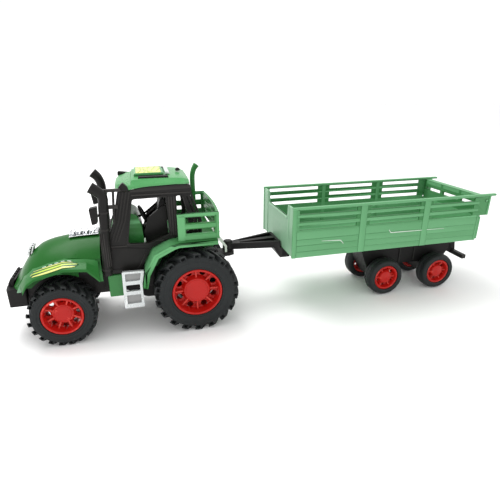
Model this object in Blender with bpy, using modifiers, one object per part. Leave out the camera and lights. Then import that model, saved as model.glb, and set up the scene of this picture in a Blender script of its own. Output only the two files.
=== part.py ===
"""Toy farm tractor with a hitched four-wheel slatted trailer.

The tractor faces -X and the trailer stands straight behind it.  The origin is the middle of the
footprint, on the floor.  Sizes in the functions are millimetres measured from the floor point under
the rear axle; at() turns them into metres in the model's frame.
"""
import math

import bmesh
import bpy
from mathutils import Matrix, Vector

MM = 0.001

# ---- driving dimensions, millimetres ----
FRONT_END = -162.0            # front of the bumper, from the rear axle
REAR_END = 311.0              # back of the trailer's bumper
REAR_AXLE_X = -(FRONT_END + REAR_END) / 2
GAP = 0.3                     # clearance between neighbouring pieces
WALL = 2.0                    # moulded wall thickness

REAR_TYRE = 38.0              # tyre radii
FRONT_TYRE = 28.3
TRAILER_TYRE = 19.8
WHEELBASE = 115.3
HITCH_X = 38.4
TRAILER_AXLES = (205.2, 269.6)

CHASSIS_HALF = 17.0
CHASSIS_TOP = 56.0
BUMPER_TOP = 47.6
DECK_TOP = 85.6               # top of the rear fender deck
DECK_HALF = 46.0
DECK_END = 20.6
CAB_OUT = 30.0                # cab side, outer and inner face
CAB_IN = 27.0
RACK_HALF = 42.0

BED_FRONT = 89.3              # trailer box
BED_BACK = 293.0
BED_BOTTOM = 60.8
BED_FLOOR = 63.0
BED_HALF = 47.1
BED_TOP = 109.4
EAR_BACK = 303.5              # side walls' upper ears that carry the tailgate
EAR_BOTTOM = 87.5
GATE_AXIS = (299.0, 103.0)    # x and z of the tailgate's hinge

PLATE_TOP = 57.2              # top of the tow plate behind the chassis
PEG_R = 2.3
AXLE_R = 1.5
BORE_R = 1.8
PLATE_DEPTH = 6.5             # how far a rim's plate sits inside the tyre's outer face
GEAR_RATIO = 3
PINION_TEETH = 8
PINION_PITCH = 3.0
GEAR_PITCH = PINION_PITCH * GEAR_RATIO
FLYWHEEL_DROP = math.radians(166)   # direction of the flywheel's shaft from the rear axle

COLOURS = {
    "tractor_green": ((0.045, 0.262, 0.075), 0.35, 0.0),
    "trailer_green": ((0.085, 0.330, 0.125), 0.40, 0.0),
    "black_plastic": ((0.022, 0.022, 0.023), 0.50, 0.0),
    "tyre_black": ((0.014, 0.014, 0.015), 0.70, 0.0),
    "rim_red": ((0.520, 0.022, 0.014), 0.35, 0.0),
    "silver_plastic": ((0.620, 0.640, 0.640), 0.30, 0.7),
    "chrome": ((0.760, 0.770, 0.780), 0.12, 1.0),
    "steel": ((0.560, 0.570, 0.580), 0.30, 1.0),
    "white_plastic": ((0.720, 0.710, 0.660), 0.45, 0.0),
}

THIN_SHELLS = ("hood_shell", "cab_frame", "trailer_body", "tailgate")


def clear_scene():
    for obj in list(bpy.data.objects):
        bpy.data.objects.remove(obj, do_unlink=True)


def new_collection(name):
    collection = bpy.data.collections.new(name)
    bpy.context.scene.collection.children.link(collection)
    return collection


clear_scene()
PARTS = new_collection("toy_tractor")
CUTTERS = new_collection("toy_tractor_cutters")


# ---- materials and small helpers ----
def material(slot):
    found = bpy.data.materials.get(slot)
    if found:
        return found
    colour, roughness, metallic = COLOURS[slot]
    mat = bpy.data.materials.new(slot)
    mat.use_nodes = True
    shader = mat.node_tree.nodes["Principled BSDF"]
    shader.inputs["Base Color"].default_value = (*colour, 1.0)
    shader.inputs["Roughness"].default_value = roughness
    shader.inputs["Metallic"].default_value = metallic
    return mat


def at(x, y, z):
    return Vector((x + REAR_AXLE_X, y, z)) * MM


def add_object(name, mesh, slot=None):
    obj = bpy.data.objects.new(name, mesh)
    if slot:
        mesh.materials.append(material(slot))
        PARTS.objects.link(obj)
    else:
        CUTTERS.objects.link(obj)
        obj.hide_render = True
        obj.display_type = "WIRE"
    return obj


def mesh_from(bm, name):
    bmesh.ops.recalc_face_normals(bm, faces=bm.faces)
    mesh = bpy.data.meshes.new(name)
    bm.to_mesh(mesh)
    bm.free()
    mesh.shade_smooth()
    mesh.set_sharp_from_angle(angle=math.radians(35))
    return mesh


def box(name, xs, ys, zs, slot=None):
    bm = bmesh.new()
    bmesh.ops.create_cube(bm, size=1.0)
    low, high = at(xs[0], ys[0], zs[0]), at(xs[1], ys[1], zs[1])
    size = high - low
    place = Matrix.Translation((low + high) / 2) @ Matrix.Diagonal((*size, 1.0))
    bmesh.ops.transform(bm, matrix=place, verts=bm.verts)
    return add_object(name, mesh_from(bm, name), slot)


def cylinder_mesh(bm, centre, radius, length, axis="Y", steps=24, end_radius=None):
    """Adds a closed cylinder or cone along axis to bm; centre in millimetres."""
    turn = {"X": Matrix.Rotation(math.pi / 2, 4, "Y"),
            "Y": Matrix.Rotation(-math.pi / 2, 4, "X"),
            "Z": Matrix.Identity(4)}[axis]
    bmesh.ops.create_cone(bm, cap_ends=True, segments=steps, radius1=radius * MM,
                          radius2=(radius if end_radius is None else end_radius) * MM,
                          depth=length * MM, matrix=Matrix.Translation(at(*centre)) @ turn)


def cylinder(name, centre, radius, length, slot=None, axis="Y", steps=24, end_radius=None):
    bm = bmesh.new()
    cylinder_mesh(bm, centre, radius, length, axis, steps, end_radius)
    return add_object(name, mesh_from(bm, name), slot)


def prism(name, loops, span, slot=None, plane="XZ"):
    """A flat outline with holes, pushed through span along the axis that plane leaves out."""
    curve = bpy.data.curves.new(name, "CURVE")
    curve.dimensions = "2D"
    curve.fill_mode = "BOTH"
    curve.extrude = abs(span[1] - span[0]) / 2 * MM
    for loop in loops:
        spline = curve.splines.new("POLY")
        spline.points.add(len(loop) - 1)
        spline.use_cyclic_u = True
        for point, (u, v) in zip(spline.points, loop):
            point.co = (u * MM, v * MM, 0.0, 1.0)
    holder = bpy.data.objects.new(name + "_outline", curve)
    CUTTERS.objects.link(holder)
    evaluated = holder.evaluated_get(bpy.context.evaluated_depsgraph_get())
    mesh = bpy.data.meshes.new_from_object(evaluated)
    bpy.data.objects.remove(holder, do_unlink=True)
    middle = (span[0] + span[1]) / 2 * MM
    shift = REAR_AXLE_X * MM
    place = {
        "XZ": Matrix.Translation((shift, middle, 0)) @ Matrix.Rotation(math.pi / 2, 4, "X"),
        "XY": Matrix.Translation((shift, 0, middle)),
        "YZ": Matrix.Translation((middle + shift, 0, 0)) @ Matrix.Rotation(math.pi / 2, 4, "Z")
        @ Matrix.Rotation(math.pi / 2, 4, "X"),
    }[plane]
    bm = bmesh.new()
    bm.from_mesh(mesh)
    bpy.data.meshes.remove(mesh)
    bmesh.ops.remove_doubles(bm, verts=bm.verts, dist=1e-6)
    bmesh.ops.transform(bm, matrix=place, verts=bm.verts)
    return add_object(name, mesh_from(bm, name), slot)


def turned(name, profile, centre, side, steps, slot=None):
    """A solid of revolution about Y from (radius, distance out from centre) points."""
    bm = bmesh.new()
    points = [bm.verts.new((radius * MM, 0.0, out * side * MM)) for radius, out in profile]
    closed = profile[0][0] > 0
    pairs = zip(points, points[1:] + points[:1]) if closed else zip(points, points[1:])
    edges = [bm.edges.new(pair) for pair in pairs]
    bmesh.ops.spin(bm, geom=points + edges, cent=(0, 0, 0), axis=(0, 0, 1),
                   angle=2 * math.pi, steps=steps, use_merge=True)
    bmesh.ops.remove_doubles(bm, verts=bm.verts, dist=1e-7)
    place = Matrix.Translation(at(*centre)) @ Matrix.Rotation(-math.pi / 2, 4, "X")
    bmesh.ops.transform(bm, matrix=place, verts=bm.verts)
    return add_object(name, mesh_from(bm, name), slot)


def loft(name, sections, slot=None):
    """A closed skin through outlines with the same number of (x, y, z) points."""
    bm = bmesh.new()
    rings = [[bm.verts.new(at(*point)) for point in section] for section in sections]
    for first, second in zip(rings, rings[1:]):
        count = len(first)
        for i in range(count):
            j = (i + 1) % count
            bm.faces.new((first[i], first[j], second[j], second[i]))
    for ring in (rings[0], rings[-1]):
        bm.faces.new(ring)
    bmesh.ops.triangulate(bm, faces=[f for f in bm.faces if len(f.verts) > 4])
    return add_object(name, mesh_from(bm, name), slot)


def tube(name, path, radii, steps=12, slot=None):
    """A round bar through (x, y, z) points, with its own radius at each point."""
    spots = [at(*point) for point in path]
    sections = []
    for i, spot in enumerate(spots):
        ahead = (spots[min(i + 1, len(spots) - 1)] - spots[max(i - 1, 0)]).normalized()
        across = ahead.orthogonal() if i == 0 else across - across.project(ahead)
        across.normalize()
        up = ahead.cross(across)
        ring = [math.cos(a) * across + math.sin(a) * up
                for a in (2 * math.pi * k / steps for k in range(steps))]
        sections.append([spot + direction * radii[i] * MM for direction in ring])
    bm = bmesh.new()
    rings = [[bm.verts.new(point) for point in section] for section in sections]
    for first, second in zip(rings, rings[1:]):
        for i in range(steps):
            j = (i + 1) % steps
            bm.faces.new((first[i], first[j], second[j], second[i]))
    bm.faces.new(rings[0])
    bm.faces.new(rings[-1])
    return add_object(name, mesh_from(bm, name), slot)


def boolean(obj, other, operation):
    """EXACT leaves these few thin-walled shells open, so they alone use MANIFOLD."""
    step = obj.modifiers.new(operation.lower() + "_" + other.name, "BOOLEAN")
    step.operation = operation
    step.solver = "MANIFOLD" if obj.name in THIN_SHELLS else "EXACT"
    step.object = other


def cut(obj, *others):
    for other in others:
        boolean(obj, other, "DIFFERENCE")


def join(obj, *others):
    for other in others:
        boolean(obj, other, "UNION")


def mirrored(points):
    """Completes a half outline, given from the middle line outwards, with its other half."""
    return points + [(-y, z) for y, z in reversed(points) if abs(y) > 1e-9]


def both_sides(make):
    for side, suffix in ((-1, "left"), (1, "right")):
        make(side, suffix)


def span_out(side, inner, outer):
    return tuple(sorted((side * inner, side * outer)))


# ---- wheels ----
def tyre(name, axle_x, side, radius, bore, width, outer, lugs, slot="tyre_black"):
    """A tyre whose shoulders are cut into lugs; with no lugs it is smooth and rounded."""
    half = width / 2
    columns = lugs * 3 if lugs else 20
    if lugs:
        depth = radius * 0.085
        profile = [(bore, -half + 2), (bore, half - 2), (radius * 0.90, half),
                   (radius, half - 3), (radius * 0.985, 0), (radius, -half + 3),
                   (radius * 0.90, -half)]
        shoulder = (2, 3, 5, 6)
    else:
        profile = [(bore, -half + 1), (bore, half - 1), (radius * 0.86, half),
                   (radius * 0.96, half * 0.80), (radius, half * 0.30), (radius, -half * 0.30),
                   (radius * 0.96, -half * 0.80), (radius * 0.86, -half)]
    centre = at(axle_x, side * (outer - half), radius)
    bm = bmesh.new()
    rows = len(profile)
    grid = []
    for column in range(columns):
        angle = 2 * math.pi * column / columns - math.pi / 2
        low = lugs and column % 3 == 2
        ring = []
        for row, (r, out) in enumerate(profile):
            if low and row in shoulder:
                r -= depth
            spot = Vector((math.cos(angle) * r, side * out, math.sin(angle) * r)) * MM
            ring.append(bm.verts.new(centre + spot))
        grid.append(ring)
    for column in range(columns):
        here, after = grid[column], grid[(column + 1) % columns]
        for row in range(rows):
            up = (row + 1) % rows
            bm.faces.new((here[row], here[up], after[up], after[row]))
    return add_object(name, mesh_from(bm, name), slot)


def rim(name, axle_x, side, radius, size, outer, width, holes, hole_r, dome=0.0):
    """A dished rim with a blind bore for the axle and a ring of round holes."""
    hub = size * 0.56
    face = outer - 3.0 + dome
    lip = outer - 0.8
    plate = outer - PLATE_DEPTH
    back = outer - width + 2
    profile = [(0, face), (hub - 1.5, face - dome * 0.4), (hub, plate), (size - 3.4, plate),
               (size - 1.6, lip), (size, lip), (size, back),
               (size - 1.8, back), (size - 1.8, plate - 2), (5, plate - 2), (5, back),
               (BORE_R, back), (BORE_R, plate), (0, plate)]
    obj = turned(name, profile, (axle_x, 0, radius), side, 18, "rim_red")
    bm = bmesh.new()
    ring = (hub + size - 3.4) / 2
    for i in range(holes):
        angle = 2 * math.pi * (i + 0.5) / holes
        spot = (axle_x + ring * math.cos(angle), side * plate, radius + ring * math.sin(angle))
        cylinder_mesh(bm, spot, hole_r, 12, steps=6)
    cut(obj, add_object(name + "_holes", mesh_from(bm, name + "_holes")))
    return obj


def wheel_pair(prefix, axle_x, radius, size, outer, width, lugs, holes, hole_r, dome=0.0):
    def one_side(side, suffix):
        bore = size + GAP
        tyre(f"{prefix}_tyre_{suffix}", axle_x, side, radius, bore, width, outer, lugs)
        rim(f"{prefix}_rim_{suffix}", axle_x, side, radius, size, outer, width,
            holes, hole_r, dome)
    both_sides(one_side)
    half_length = outer - PLATE_DEPTH - GAP
    cylinder(f"{prefix}_axle", (axle_x, 0, radius), AXLE_R, 2 * half_length, "steel", steps=16)


def wheels():
    wheel_pair("rear", 0.0, REAR_TYRE, 22.4, 49.2, 28.0, 18, 9, 1.9)
    wheel_pair("front", -WHEELBASE, FRONT_TYRE, 17.25, 45.1, 23.6, 20, 9, 1.5)
    for number, axle_x in enumerate(TRAILER_AXLES, 1):
        wheel_pair(f"trailer_{number}", axle_x, TRAILER_TYRE, 13.4, 30.8, 15.0, 0, 6, 1.3, 1.6)


# ---- tractor: chassis, bumper and drive ----
def wheel_bore(name, axle_x, radius, half):
    return cylinder(name, (axle_x, 0, radius), BORE_R, 2 * half + 4, steps=16)


def chassis():
    side = [(-145, 34), (-124, 34), (-122, 22), (-108, 22), (-106, 34), (-62, 34), (-44, 24.5),
            (26, 24.5), (30, 40), (30, CHASSIS_TOP), (-145, CHASSIS_TOP)]
    obj = prism("chassis", [side], (-CHASSIS_HALF, CHASSIS_HALF), "black_plastic")
    inside = CHASSIS_HALF - WALL
    cut(obj, box("chassis_front_room", (-143, -45), (-inside, inside), (36, 70)),
        box("chassis_rear_room", (-45.5, 27), (-inside, inside), (26.3, 70)),
        wheel_bore("chassis_rear_bore", 0, REAR_TYRE, CHASSIS_HALF),
        wheel_bore("chassis_front_bore", -WHEELBASE, FRONT_TYRE, CHASSIS_HALF))
    plate = [(28, -8), (HITCH_X, -7.5), (HITCH_X + 5, -5), (HITCH_X + 6, 0), (HITCH_X + 5, 5),
             (HITCH_X, 7.5), (28, 8)]
    join(obj, prism("tow_plate", [plate], (PLATE_TOP - 3.2, PLATE_TOP), None, "XY"),
         cylinder("tow_peg", (HITCH_X, 0, 60), PEG_R, 10, axis="Z", steps=16))


def front_bumper():
    plan = [(FRONT_END, -12), (-160.6, -21), (-145.4, -21), (-145.4, 21), (-160.6, 21),
            (FRONT_END, 12)]
    obj = prism("front_bumper", [plan], (31, BUMPER_TOP), "black_plastic", "XY")
    cut(obj, box("bumper_recess", (-159, -147.5), (-18.5, 18.5), (30, BUMPER_TOP - 2.4)))


def grille():
    """A low radiator block in front of the hood, with upright ribs across its face."""
    foot = BUMPER_TOP + GAP
    side = [(-160.9, foot), (-160.4, 50.5), (-157.6, 55.3), (-153.7, 55.3), (-156.0, 51.2),
            (-156.0, foot)]
    obj = prism("grille", [side], (-13, 13), "black_plastic")
    for k in range(4):
        middle = (k - 1.5) * 5.6
        gap = [(-165, foot + 1.5), (-158.9, foot + 1.5), (-158.2, 51.0), (-155.9, 56.5),
               (-165, 56.5)]
        cut(obj, prism(f"grille_gap_{k}", [gap], (middle - 0.9, middle + 0.9)))


def gear_outline(teeth, pitch, phase, tip=0.6, root=0.9, share=0.17):
    """Outline of a straight-toothed gear; share is half a tooth's part of one pitch."""
    points = []
    for k in range(teeth):
        middle = phase + 2 * math.pi * k / teeth
        width = 2 * math.pi / teeth * share
        for radius, offset in ((pitch - root, -1.3 * width), (pitch + tip, -0.8 * width),
                               (pitch + tip, 0.8 * width), (pitch - root, 1.3 * width)):
            angle = middle + offset
            points.append((radius * math.cos(angle), radius * math.sin(angle)))
    return points


def friction_drive():
    """Motor housing, drive gear on the rear axle, and the flywheel with its pinion."""
    distance = GEAR_PITCH + PINION_PITCH
    shaft_x = distance * math.cos(FLYWHEEL_DROP)
    shaft_z = REAR_TYRE + distance * math.sin(FLYWHEEL_DROP)
    half, inside = 13.0, 11.4
    housing = box("motor_housing", (-24, 13), (-half, half), (26.7, 53), "white_plastic")
    cut(housing, box("housing_room", (-22.4, 11.4), (-inside, inside), (28.1, 60)),
        wheel_bore("housing_axle_bore", 0, REAR_TYRE, half),
        cylinder("housing_shaft_bore", (shaft_x, 0, shaft_z), 1.3, 2 * half + 4, steps=12))

    teeth = PINION_TEETH * GEAR_RATIO
    centred = [(x, z + REAR_TYRE) for x, z in
               gear_outline(teeth, GEAR_PITCH, FLYWHEEL_DROP + math.pi / teeth)]
    gear = prism("drive_gear", [centred], (-4.4, -1.4), "white_plastic")
    cut(gear, cylinder("gear_bore", (0, 0, REAR_TYRE), AXLE_R + 0.15, 20, steps=16))

    pinion = [(x + shaft_x, z + shaft_z) for x, z in
              gear_outline(PINION_TEETH, PINION_PITCH, FLYWHEEL_DROP + math.pi)]
    wheel = cylinder("flywheel", (shaft_x, 5.5, shaft_z), 8.2, 6.0, "steel", steps=24)
    join(wheel, prism("flywheel_pinion", [pinion], (-5.0, 3.0)),
         cylinder("flywheel_shaft", (shaft_x, 0, shaft_z), 1.0, 2 * half, steps=12))


# ---- tractor: hood with front fenders ----
# x, half width, shoulder height and crown height of the hood, from the nose back
HOOD = [(-155.2, 17, 48.5, 50.8), (-152.6, 21.5, 50.5, 55.6), (-149.5, 24.4, 53.0, 60.4),
        (-144.6, 26.2, 59.5, 67.7), (-138.7, 27, 65, 74.4), (-130.6, 27.5, 68.8, 80.6),
        (-120.8, 28, 71.8, 84.0), (-106, 28, 74.8, 86.2), (-93, 28, 72.8, 87.2),
        (-80.4, 28, 71.8, 87.6)]
HOOD_BOTTOM = BUMPER_TOP + 0.4
# inner x, inner y, inner z, outer x, outer z of the front fenders, from the nose back
FENDER = [(-149.3, 22.6, 53.0, -142.6, 53.6), (-143.5, 25.0, 61.0, -138.6, 60.2),
          (-135, 26.6, 67.4, -132.5, 64.6), (-122.8, 26.8, 71.6, -121.3, 67.4),
          (-109, 26.8, 74.6, -109.5, 70.4), (-91, 26.8, 72.4, -91, 68.6),
          (-82.5, 26.8, 71.0, -81.6, 58.0)]
FENDER_HALF = 42.0


def hood_section(x, half, shoulder, crown, bottom):
    ribs = 6
    top = []
    for i in range(ribs + 1):
        u = i / ribs
        top.append((half * u, crown - (crown - shoulder) * u ** 1.7))
    return [(x, y, z) for y, z in mirrored(top + [(half, bottom)])]


def hood_skin(name, inset, slot=None):
    sections = []
    for x, half, shoulder, crown in HOOD:
        if inset and x < -150:
            continue
        sections.append(hood_section(x, half - inset, shoulder - inset, crown - inset,
                                     HOOD_BOTTOM - 3 * inset))
    if inset:
        x, half, shoulder, crown = HOOD[-1]
        sections.append(hood_section(x + 5, half - inset, shoulder - inset, crown - inset,
                                     HOOD_BOTTOM - 3 * inset))
    return loft(name, sections, slot)


def hood():
    shell = hood_skin("hood_shell", 0, "tractor_green")
    cut(shell, hood_skin("hood_room", WALL))

    def fender(side, suffix):
        sections = []
        for x_in, y_in, z_in, x_out, z_out in FENDER:
            x_mid, z_mid = (x_in + x_out) / 2, (z_in + z_out) / 2 + 1.2
            y_mid = (y_in + FENDER_HALF) / 2
            top = [(x_in, y_in, z_in), (x_mid, y_mid, z_mid), (x_out, FENDER_HALF, z_out)]
            under = [(x_out, FENDER_HALF, z_out - 2.4), (x_out, FENDER_HALF - WALL, z_out - 2.4),
                     (x_mid, y_mid, z_mid - 2.2), (x_in, y_in, z_in - 3.0)]
            sections.append([(x, side * y, z) for x, y, z in top + under])
        join(shell, loft("hood_fender_" + suffix, sections))
        well = (-WHEELBASE, side * 34, FRONT_TYRE)
        cut(shell, cylinder("wheel_well_" + suffix, well, 32.0, 27, steps=32))
        rear_gap = [(-100, 40), (-100, 68.3), (-93.3, 61.2), (-83.3, 50.3), (-80.4, 46.8),
                    (-79, 40)]
        cut(shell, prism("wheel_gap_" + suffix, [rear_gap], span_out(side, 20, 29)))
    both_sides(fender)


def nose_and_engine():
    lamps = [(-139.7, 81.1), (-142.9, 72.0), (-142.2, 71.2), (-139.0, 74.8), (-136.0, 77.8),
             (-135.9, 79.8)]
    prism("headlamp_bar", [lamps], (-6, 6), "chrome")

    side = [(-106.5, 86.6), (-93, 87.6), (-81, 88.0), (-81, 90.2), (-104.5, 89.8)]
    prism("engine_block", [side], (-8.5, 8.5), "chrome")


# ---- tractor: cab ----
def cab_side(name, side, slot=None):
    outline = [(-79, 57), (-47.8, 56), (-45.0, 62.2), (-36.4, 78.0), (-21.5, 84.7),
               (-13.6, 86.1), (8.6, 86.1), (9.2, 99), (6.6, 109), (1.6, 124.5), (0.4, 132.2),
               (-10, 133.3), (-38, 132.4),
               (-54.5, 129.3), (-54.9, 136), (-59, 136), (-60, 131), (-66, 104), (-73.5, 86)]
    window = [(-48.8, 122.5), (-21.2, 123), (-19.8, 90), (-26, 87.6), (-38, 82.6), (-55.8, 83.5)]
    rear_window = [(-12.4, 123.6), (-7.4, 123.6), (-3.4, 108), (-2.6, 90.5), (-12.4, 90.5)]
    return prism(name, [outline, window, rear_window], span_out(side, CAB_IN, CAB_OUT), slot)


def cab_frame():
    frame = cab_side("cab_frame", -1, "black_plastic")
    inner = CAB_IN + 0.5
    join(frame, cab_side("cab_side_right", 1),
         box("firewall", (-78.6, -76.3), (-inner, inner), (57.6, 90)),
         box("cowl", (-77.2, -71), (-inner, inner), (87.5, 90.6)),
         box("windscreen_head", (-59.6, -55.5), (-inner, inner), (121.8, 128)),
         box("rear_head", (-1.5, 1.3), (-inner, inner), (122.4, 130)),
         box("rear_sill", (5.4, 8.4), (-inner, inner), (86.6, 90.1)))


ROOF = [(-62, 19, 128.4, 131.2, 133.0), (-59.8, 24.6, 128.5, 132.2, 134.6),
        (-54.6, 26.5, 129.6, 133.4, 135.8), (-53.2, 30.4, 130.3, 134.0, 136.0),
        (-48.8, 30.6, 131.2, 135.0, 136.8), (-47.8, 30.6, 131.4, 135.8, 139.4),
        (-38, 30.8, 132.9, 136.6, 139.6), (-12, 30.8, 133.8, 137.0, 139.3),
        (-4.4, 29.8, 133.3, 136.4, 138.4), (0.2, 26.5, 132.7, 134.6, 136.0)]
ROOM_SHIFTS = (1.5, 1.2, 1.4, 1.6, 1.8, 0, 0, 0)      # how far back each inner section stands


def roof_section(x, half, bottom, shoulder, top):
    return [(x, y, z) for y, z in mirrored([(0, top), (half - 9, top - 0.4),
                                            (half - 2.4, shoulder), (half, bottom + 1.2),
                                            (half, bottom)])]


def roof():
    shell = loft("roof", [roof_section(*row) for row in ROOF], "tractor_green")
    inner = [(x + shift, half - WALL, bottom - 6, shoulder - WALL, top - WALL)
             for (x, half, bottom, shoulder, top), shift in zip(ROOF[1:-1], ROOM_SHIFTS)]
    cut(shell, loft("roof_room", [roof_section(*row) for row in inner]))
    hatch = prism("roof_hatch", [[(-46, 140.0), (-44.8, 142.0), (-21.4, 142.0), (-20, 140.0)]],
                  (-17, 17), "tractor_green")
    step = hatch.modifiers.new("round", "BEVEL")
    step.width = 0.6 * MM
    step.segments = 2
    cylinder("roof_beacon", (-7, 0, 141.0), 2.2, 2.6, "black_plastic", "Z", 12, 1.5)
    prism("work_light_bar", [[(-19.6, 140.0), (-19.2, 142.2), (-15.8, 142.0), (-15.0, 140.0)]],
          (-15, 15), "silver_plastic")


def interior():
    dash = [(-70.4, 92), (-66.5, 103), (-61, 106), (-51, 99), (-45.5, 84), (-45.5, 66),
            (-70.4, 66)]
    prism("dashboard", [dash], (-17, 17), "tractor_green")
    floor = [(-76, 57), (-48.5, 57), (-46.2, 62), (-43.5, 65.4), (-76, 65.4)]
    prism("cab_floor", [floor], (-26.4, 26.4), "black_plastic")
    seat_side = [(-40.5, 80.5), (-41.5, 88.5), (-39, 91), (-32.5, 90.5), (-25.5, 117),
                 (-21.5, 117.5), (-20.5, 86.0), (-27, 83.2)]
    prism("seat", [seat_side], (-12, 12), "black_plastic")
    lean = Matrix.Rotation(math.radians(66), 4, "Y")
    centre = at(-41.0, 0, 101.0)
    bm = bmesh.new()
    place = Matrix.Translation(centre) @ lean
    bmesh.ops.create_cone(bm, cap_ends=True, segments=20, radius1=9.4 * MM, radius2=9.4 * MM,
                          depth=2.0 * MM, matrix=place)
    wheel = add_object("steering_wheel", mesh_from(bm, "steering_wheel"), "black_plastic")
    bm = bmesh.new()
    bmesh.ops.create_cone(bm, cap_ends=True, segments=20, radius1=7.4 * MM, radius2=7.4 * MM,
                          depth=4.0 * MM, matrix=place)
    cut(wheel, add_object("steering_wheel_inside", mesh_from(bm, "steering_wheel_inside")))
    bars = bmesh.new()
    bmesh.ops.create_cube(bars, size=1.0, matrix=place @ Matrix.Diagonal(
        (2.4 * MM, 16.0 * MM, 1.4 * MM, 1.0)))
    join(wheel, add_object("steering_spoke", mesh_from(bars, "steering_spoke")))
    bars = bmesh.new()
    bmesh.ops.create_cube(bars, size=1.0, matrix=place @ Matrix.Translation((0, 0, -3.4 * MM))
                          @ Matrix.Diagonal((2.0 * MM, 2.0 * MM, 6.0 * MM, 1.0)))
    join(wheel, add_object("steering_column", mesh_from(bars, "steering_column")))


def exhausts_and_mirrors():
    """The right-hand stack stands a little further forward and has only the lower bracket."""
    def one_side(side, suffix):
        y = side * 34.6
        path = [(-77.0, y, 58.6), (-77.0, y, 118), (-77.6, y, 125.0), (-80.0, y, 131),
                (-84.0, y, 135.2)]
        if side < 0:
            path = [(-75.2, y, 58.6), (-72.0, y, 118), (-71.4, y, 126), (-74.0, y, 131),
                    (-80.2, y, 135.6)]
        x = path[1][0]
        stack = tube("exhaust_stack_" + suffix, path, (4.0, 4.1, 4.1, 4.4, 4.9),
                     slot="black_plastic")
        bars = span_out(side, CAB_OUT + 0.4, CAB_OUT + 2.8)
        join(stack, box("lower_bracket_" + suffix, (x, -60.5), bars, (116.2, 119.4)))
        if side < 0:
            join(stack, box("upper_bracket_" + suffix, (x, -57), bars, (130.4, 132.8)),
                 box("bracket_post_" + suffix, (-64.4, -62.4), bars, (103, 131.5)))
        lean = 0.8 if side < 0 else 0.0
        mirror = prism("mirror_" + suffix,
                       [[(x - 11.2, 118.6), (x - 4.7, 119.7), (x - 4.7 - lean, 106.0),
                         (x - 9.4 - lean, 104.6)]], span_out(side, 31.6, 37), "black_plastic")
        step = mirror.modifiers.new("round", "BEVEL")
        step.width = 0.9 * MM
        step.segments = 2
    both_sides(one_side)


def ladders_and_tanks():
    def one_side(side, suffix):
        frame = [(-63.5, 61.4), (-44.7, 61.0), (-47.3, 47.2), (-47.0, 26.2), (-64.2, 26.2)]
        cells = [[(-61.0, 59.4), (-47.8, 59.2), (-49.0, 52.2), (-61.2, 52.2)],
                 [(-61.2, 48.6), (-49.3, 48.6), (-49.4, 42.4), (-61.3, 42.4)],
                 [(-61.3, 38.9), (-49.4, 38.9), (-49.3, 30.4), (-61.5, 30.4)]]
        ladder = prism("ladder_" + suffix, [frame] + cells[1:], span_out(side, 36.4, 39.4),
                       "silver_plastic")
        recess = prism("ladder_recess_" + suffix, [cells[0]], span_out(side, 38.2, 42))
        cut(ladder, recess)
        join(ladder, box("ladder_shelf_" + suffix, (-61.4, -49), span_out(side, 17.4, 37),
                         (52.4, 55.4)))
        tank = box("side_tank_" + suffix, (-76, -62), span_out(side, 17.4, 31),
                   (35, 55.6), "tractor_green")
        step = tank.modifiers.new("round", "BEVEL")
        step.width = 1.0 * MM
        step.segments = 2
    both_sides(one_side)


# ---- tractor: rear deck, rack, horn pipe and tow bracket ----
DECK_CURVE = [(-46.8, 47), (-44.0, 61.5), (-35.7, 76.9), (-21.2, 83.9), (-13.5, DECK_TOP)]


def rear_body():
    under = [(x + 2.2, z - (0 if z < 50 else 1.6)) for x, z in DECK_CURVE[:-1]]
    band = DECK_CURVE + [(DECK_END, DECK_TOP), (DECK_END, DECK_TOP - 2.2), (-13.2, DECK_TOP - 2.2)]
    band += list(reversed(under))
    deck = prism("rear_body", [band], (-DECK_HALF, DECK_HALF), "tractor_green")
    wall = [(-43.6, CHASSIS_TOP + GAP), (-42.6, 61), (-34.2, 75.6), (-20.4, 82.6),
            (DECK_END, DECK_TOP - 1), (DECK_END, 71), (10, CHASSIS_TOP + GAP)]
    for side in (-1, 1):
        join(deck, prism(f"wheel_box_{side}", [wall], span_out(side, 17.6, 19.6)))
    join(deck, box("rear_wall", (DECK_END - 2, DECK_END), (-18, 18), (71, DECK_TOP - 1)))
    cut(deck, box("chassis_gate", (-50, -40), (-CHASSIS_HALF - 0.4, CHASSIS_HALF + 0.4),
                  (40, CHASSIS_TOP + 1.2)))


def rack():
    """Two slotted sides and a back of wide slats that bows slightly outwards."""
    low, high = DECK_TOP + GAP, 110.0
    rear = 22.4
    side_outline = [(-13.5, low), (rear, low), (rear, high), (-13.5, high)]
    rows = ((91.9, 96.0), (101.3, 106.8))
    slots = [[(-6.6, a), (18.6, a), (18.6, b), (-6.6, b)] for a, b in rows]
    obj = prism("rear_rack", [side_outline] + slots, (-RACK_HALF, -RACK_HALF + 3),
                "tractor_green")
    join(obj, prism("rack_side_right", [side_outline] + slots, (RACK_HALF - 3, RACK_HALF)))
    bow = [(RACK_HALF - 0.4, 22.6), (26, 23.8), (9, 24.6)]
    outer = [(x, y) for y, x in bow] + [(x, -y) for y, x in reversed(bow)]
    inner = [(x - 2.4, y) for x, y in reversed(outer)]
    back = prism("rack_back", [outer + inner], (low, high - 0.5), None, "XY")
    for bottom in (92.4, 100.6):
        cut(back, box(f"rack_gap_{bottom}", (12, 30), (-38.4, 38.4), (bottom, bottom + 2.0)))
    join(obj, back)


def horn_pipe():
    x, y = 10.3, 35.6
    path = [(x, y, DECK_TOP + GAP), (x, y, 124), (x + 0.8, y, 130.6), (x + 2.4, y, 135.0),
            (x + 4.9, y, 138.6)]
    tube("horn_pipe", path, (2.8, 2.7, 2.7, 2.8, 3.2), slot="tractor_green")


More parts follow.
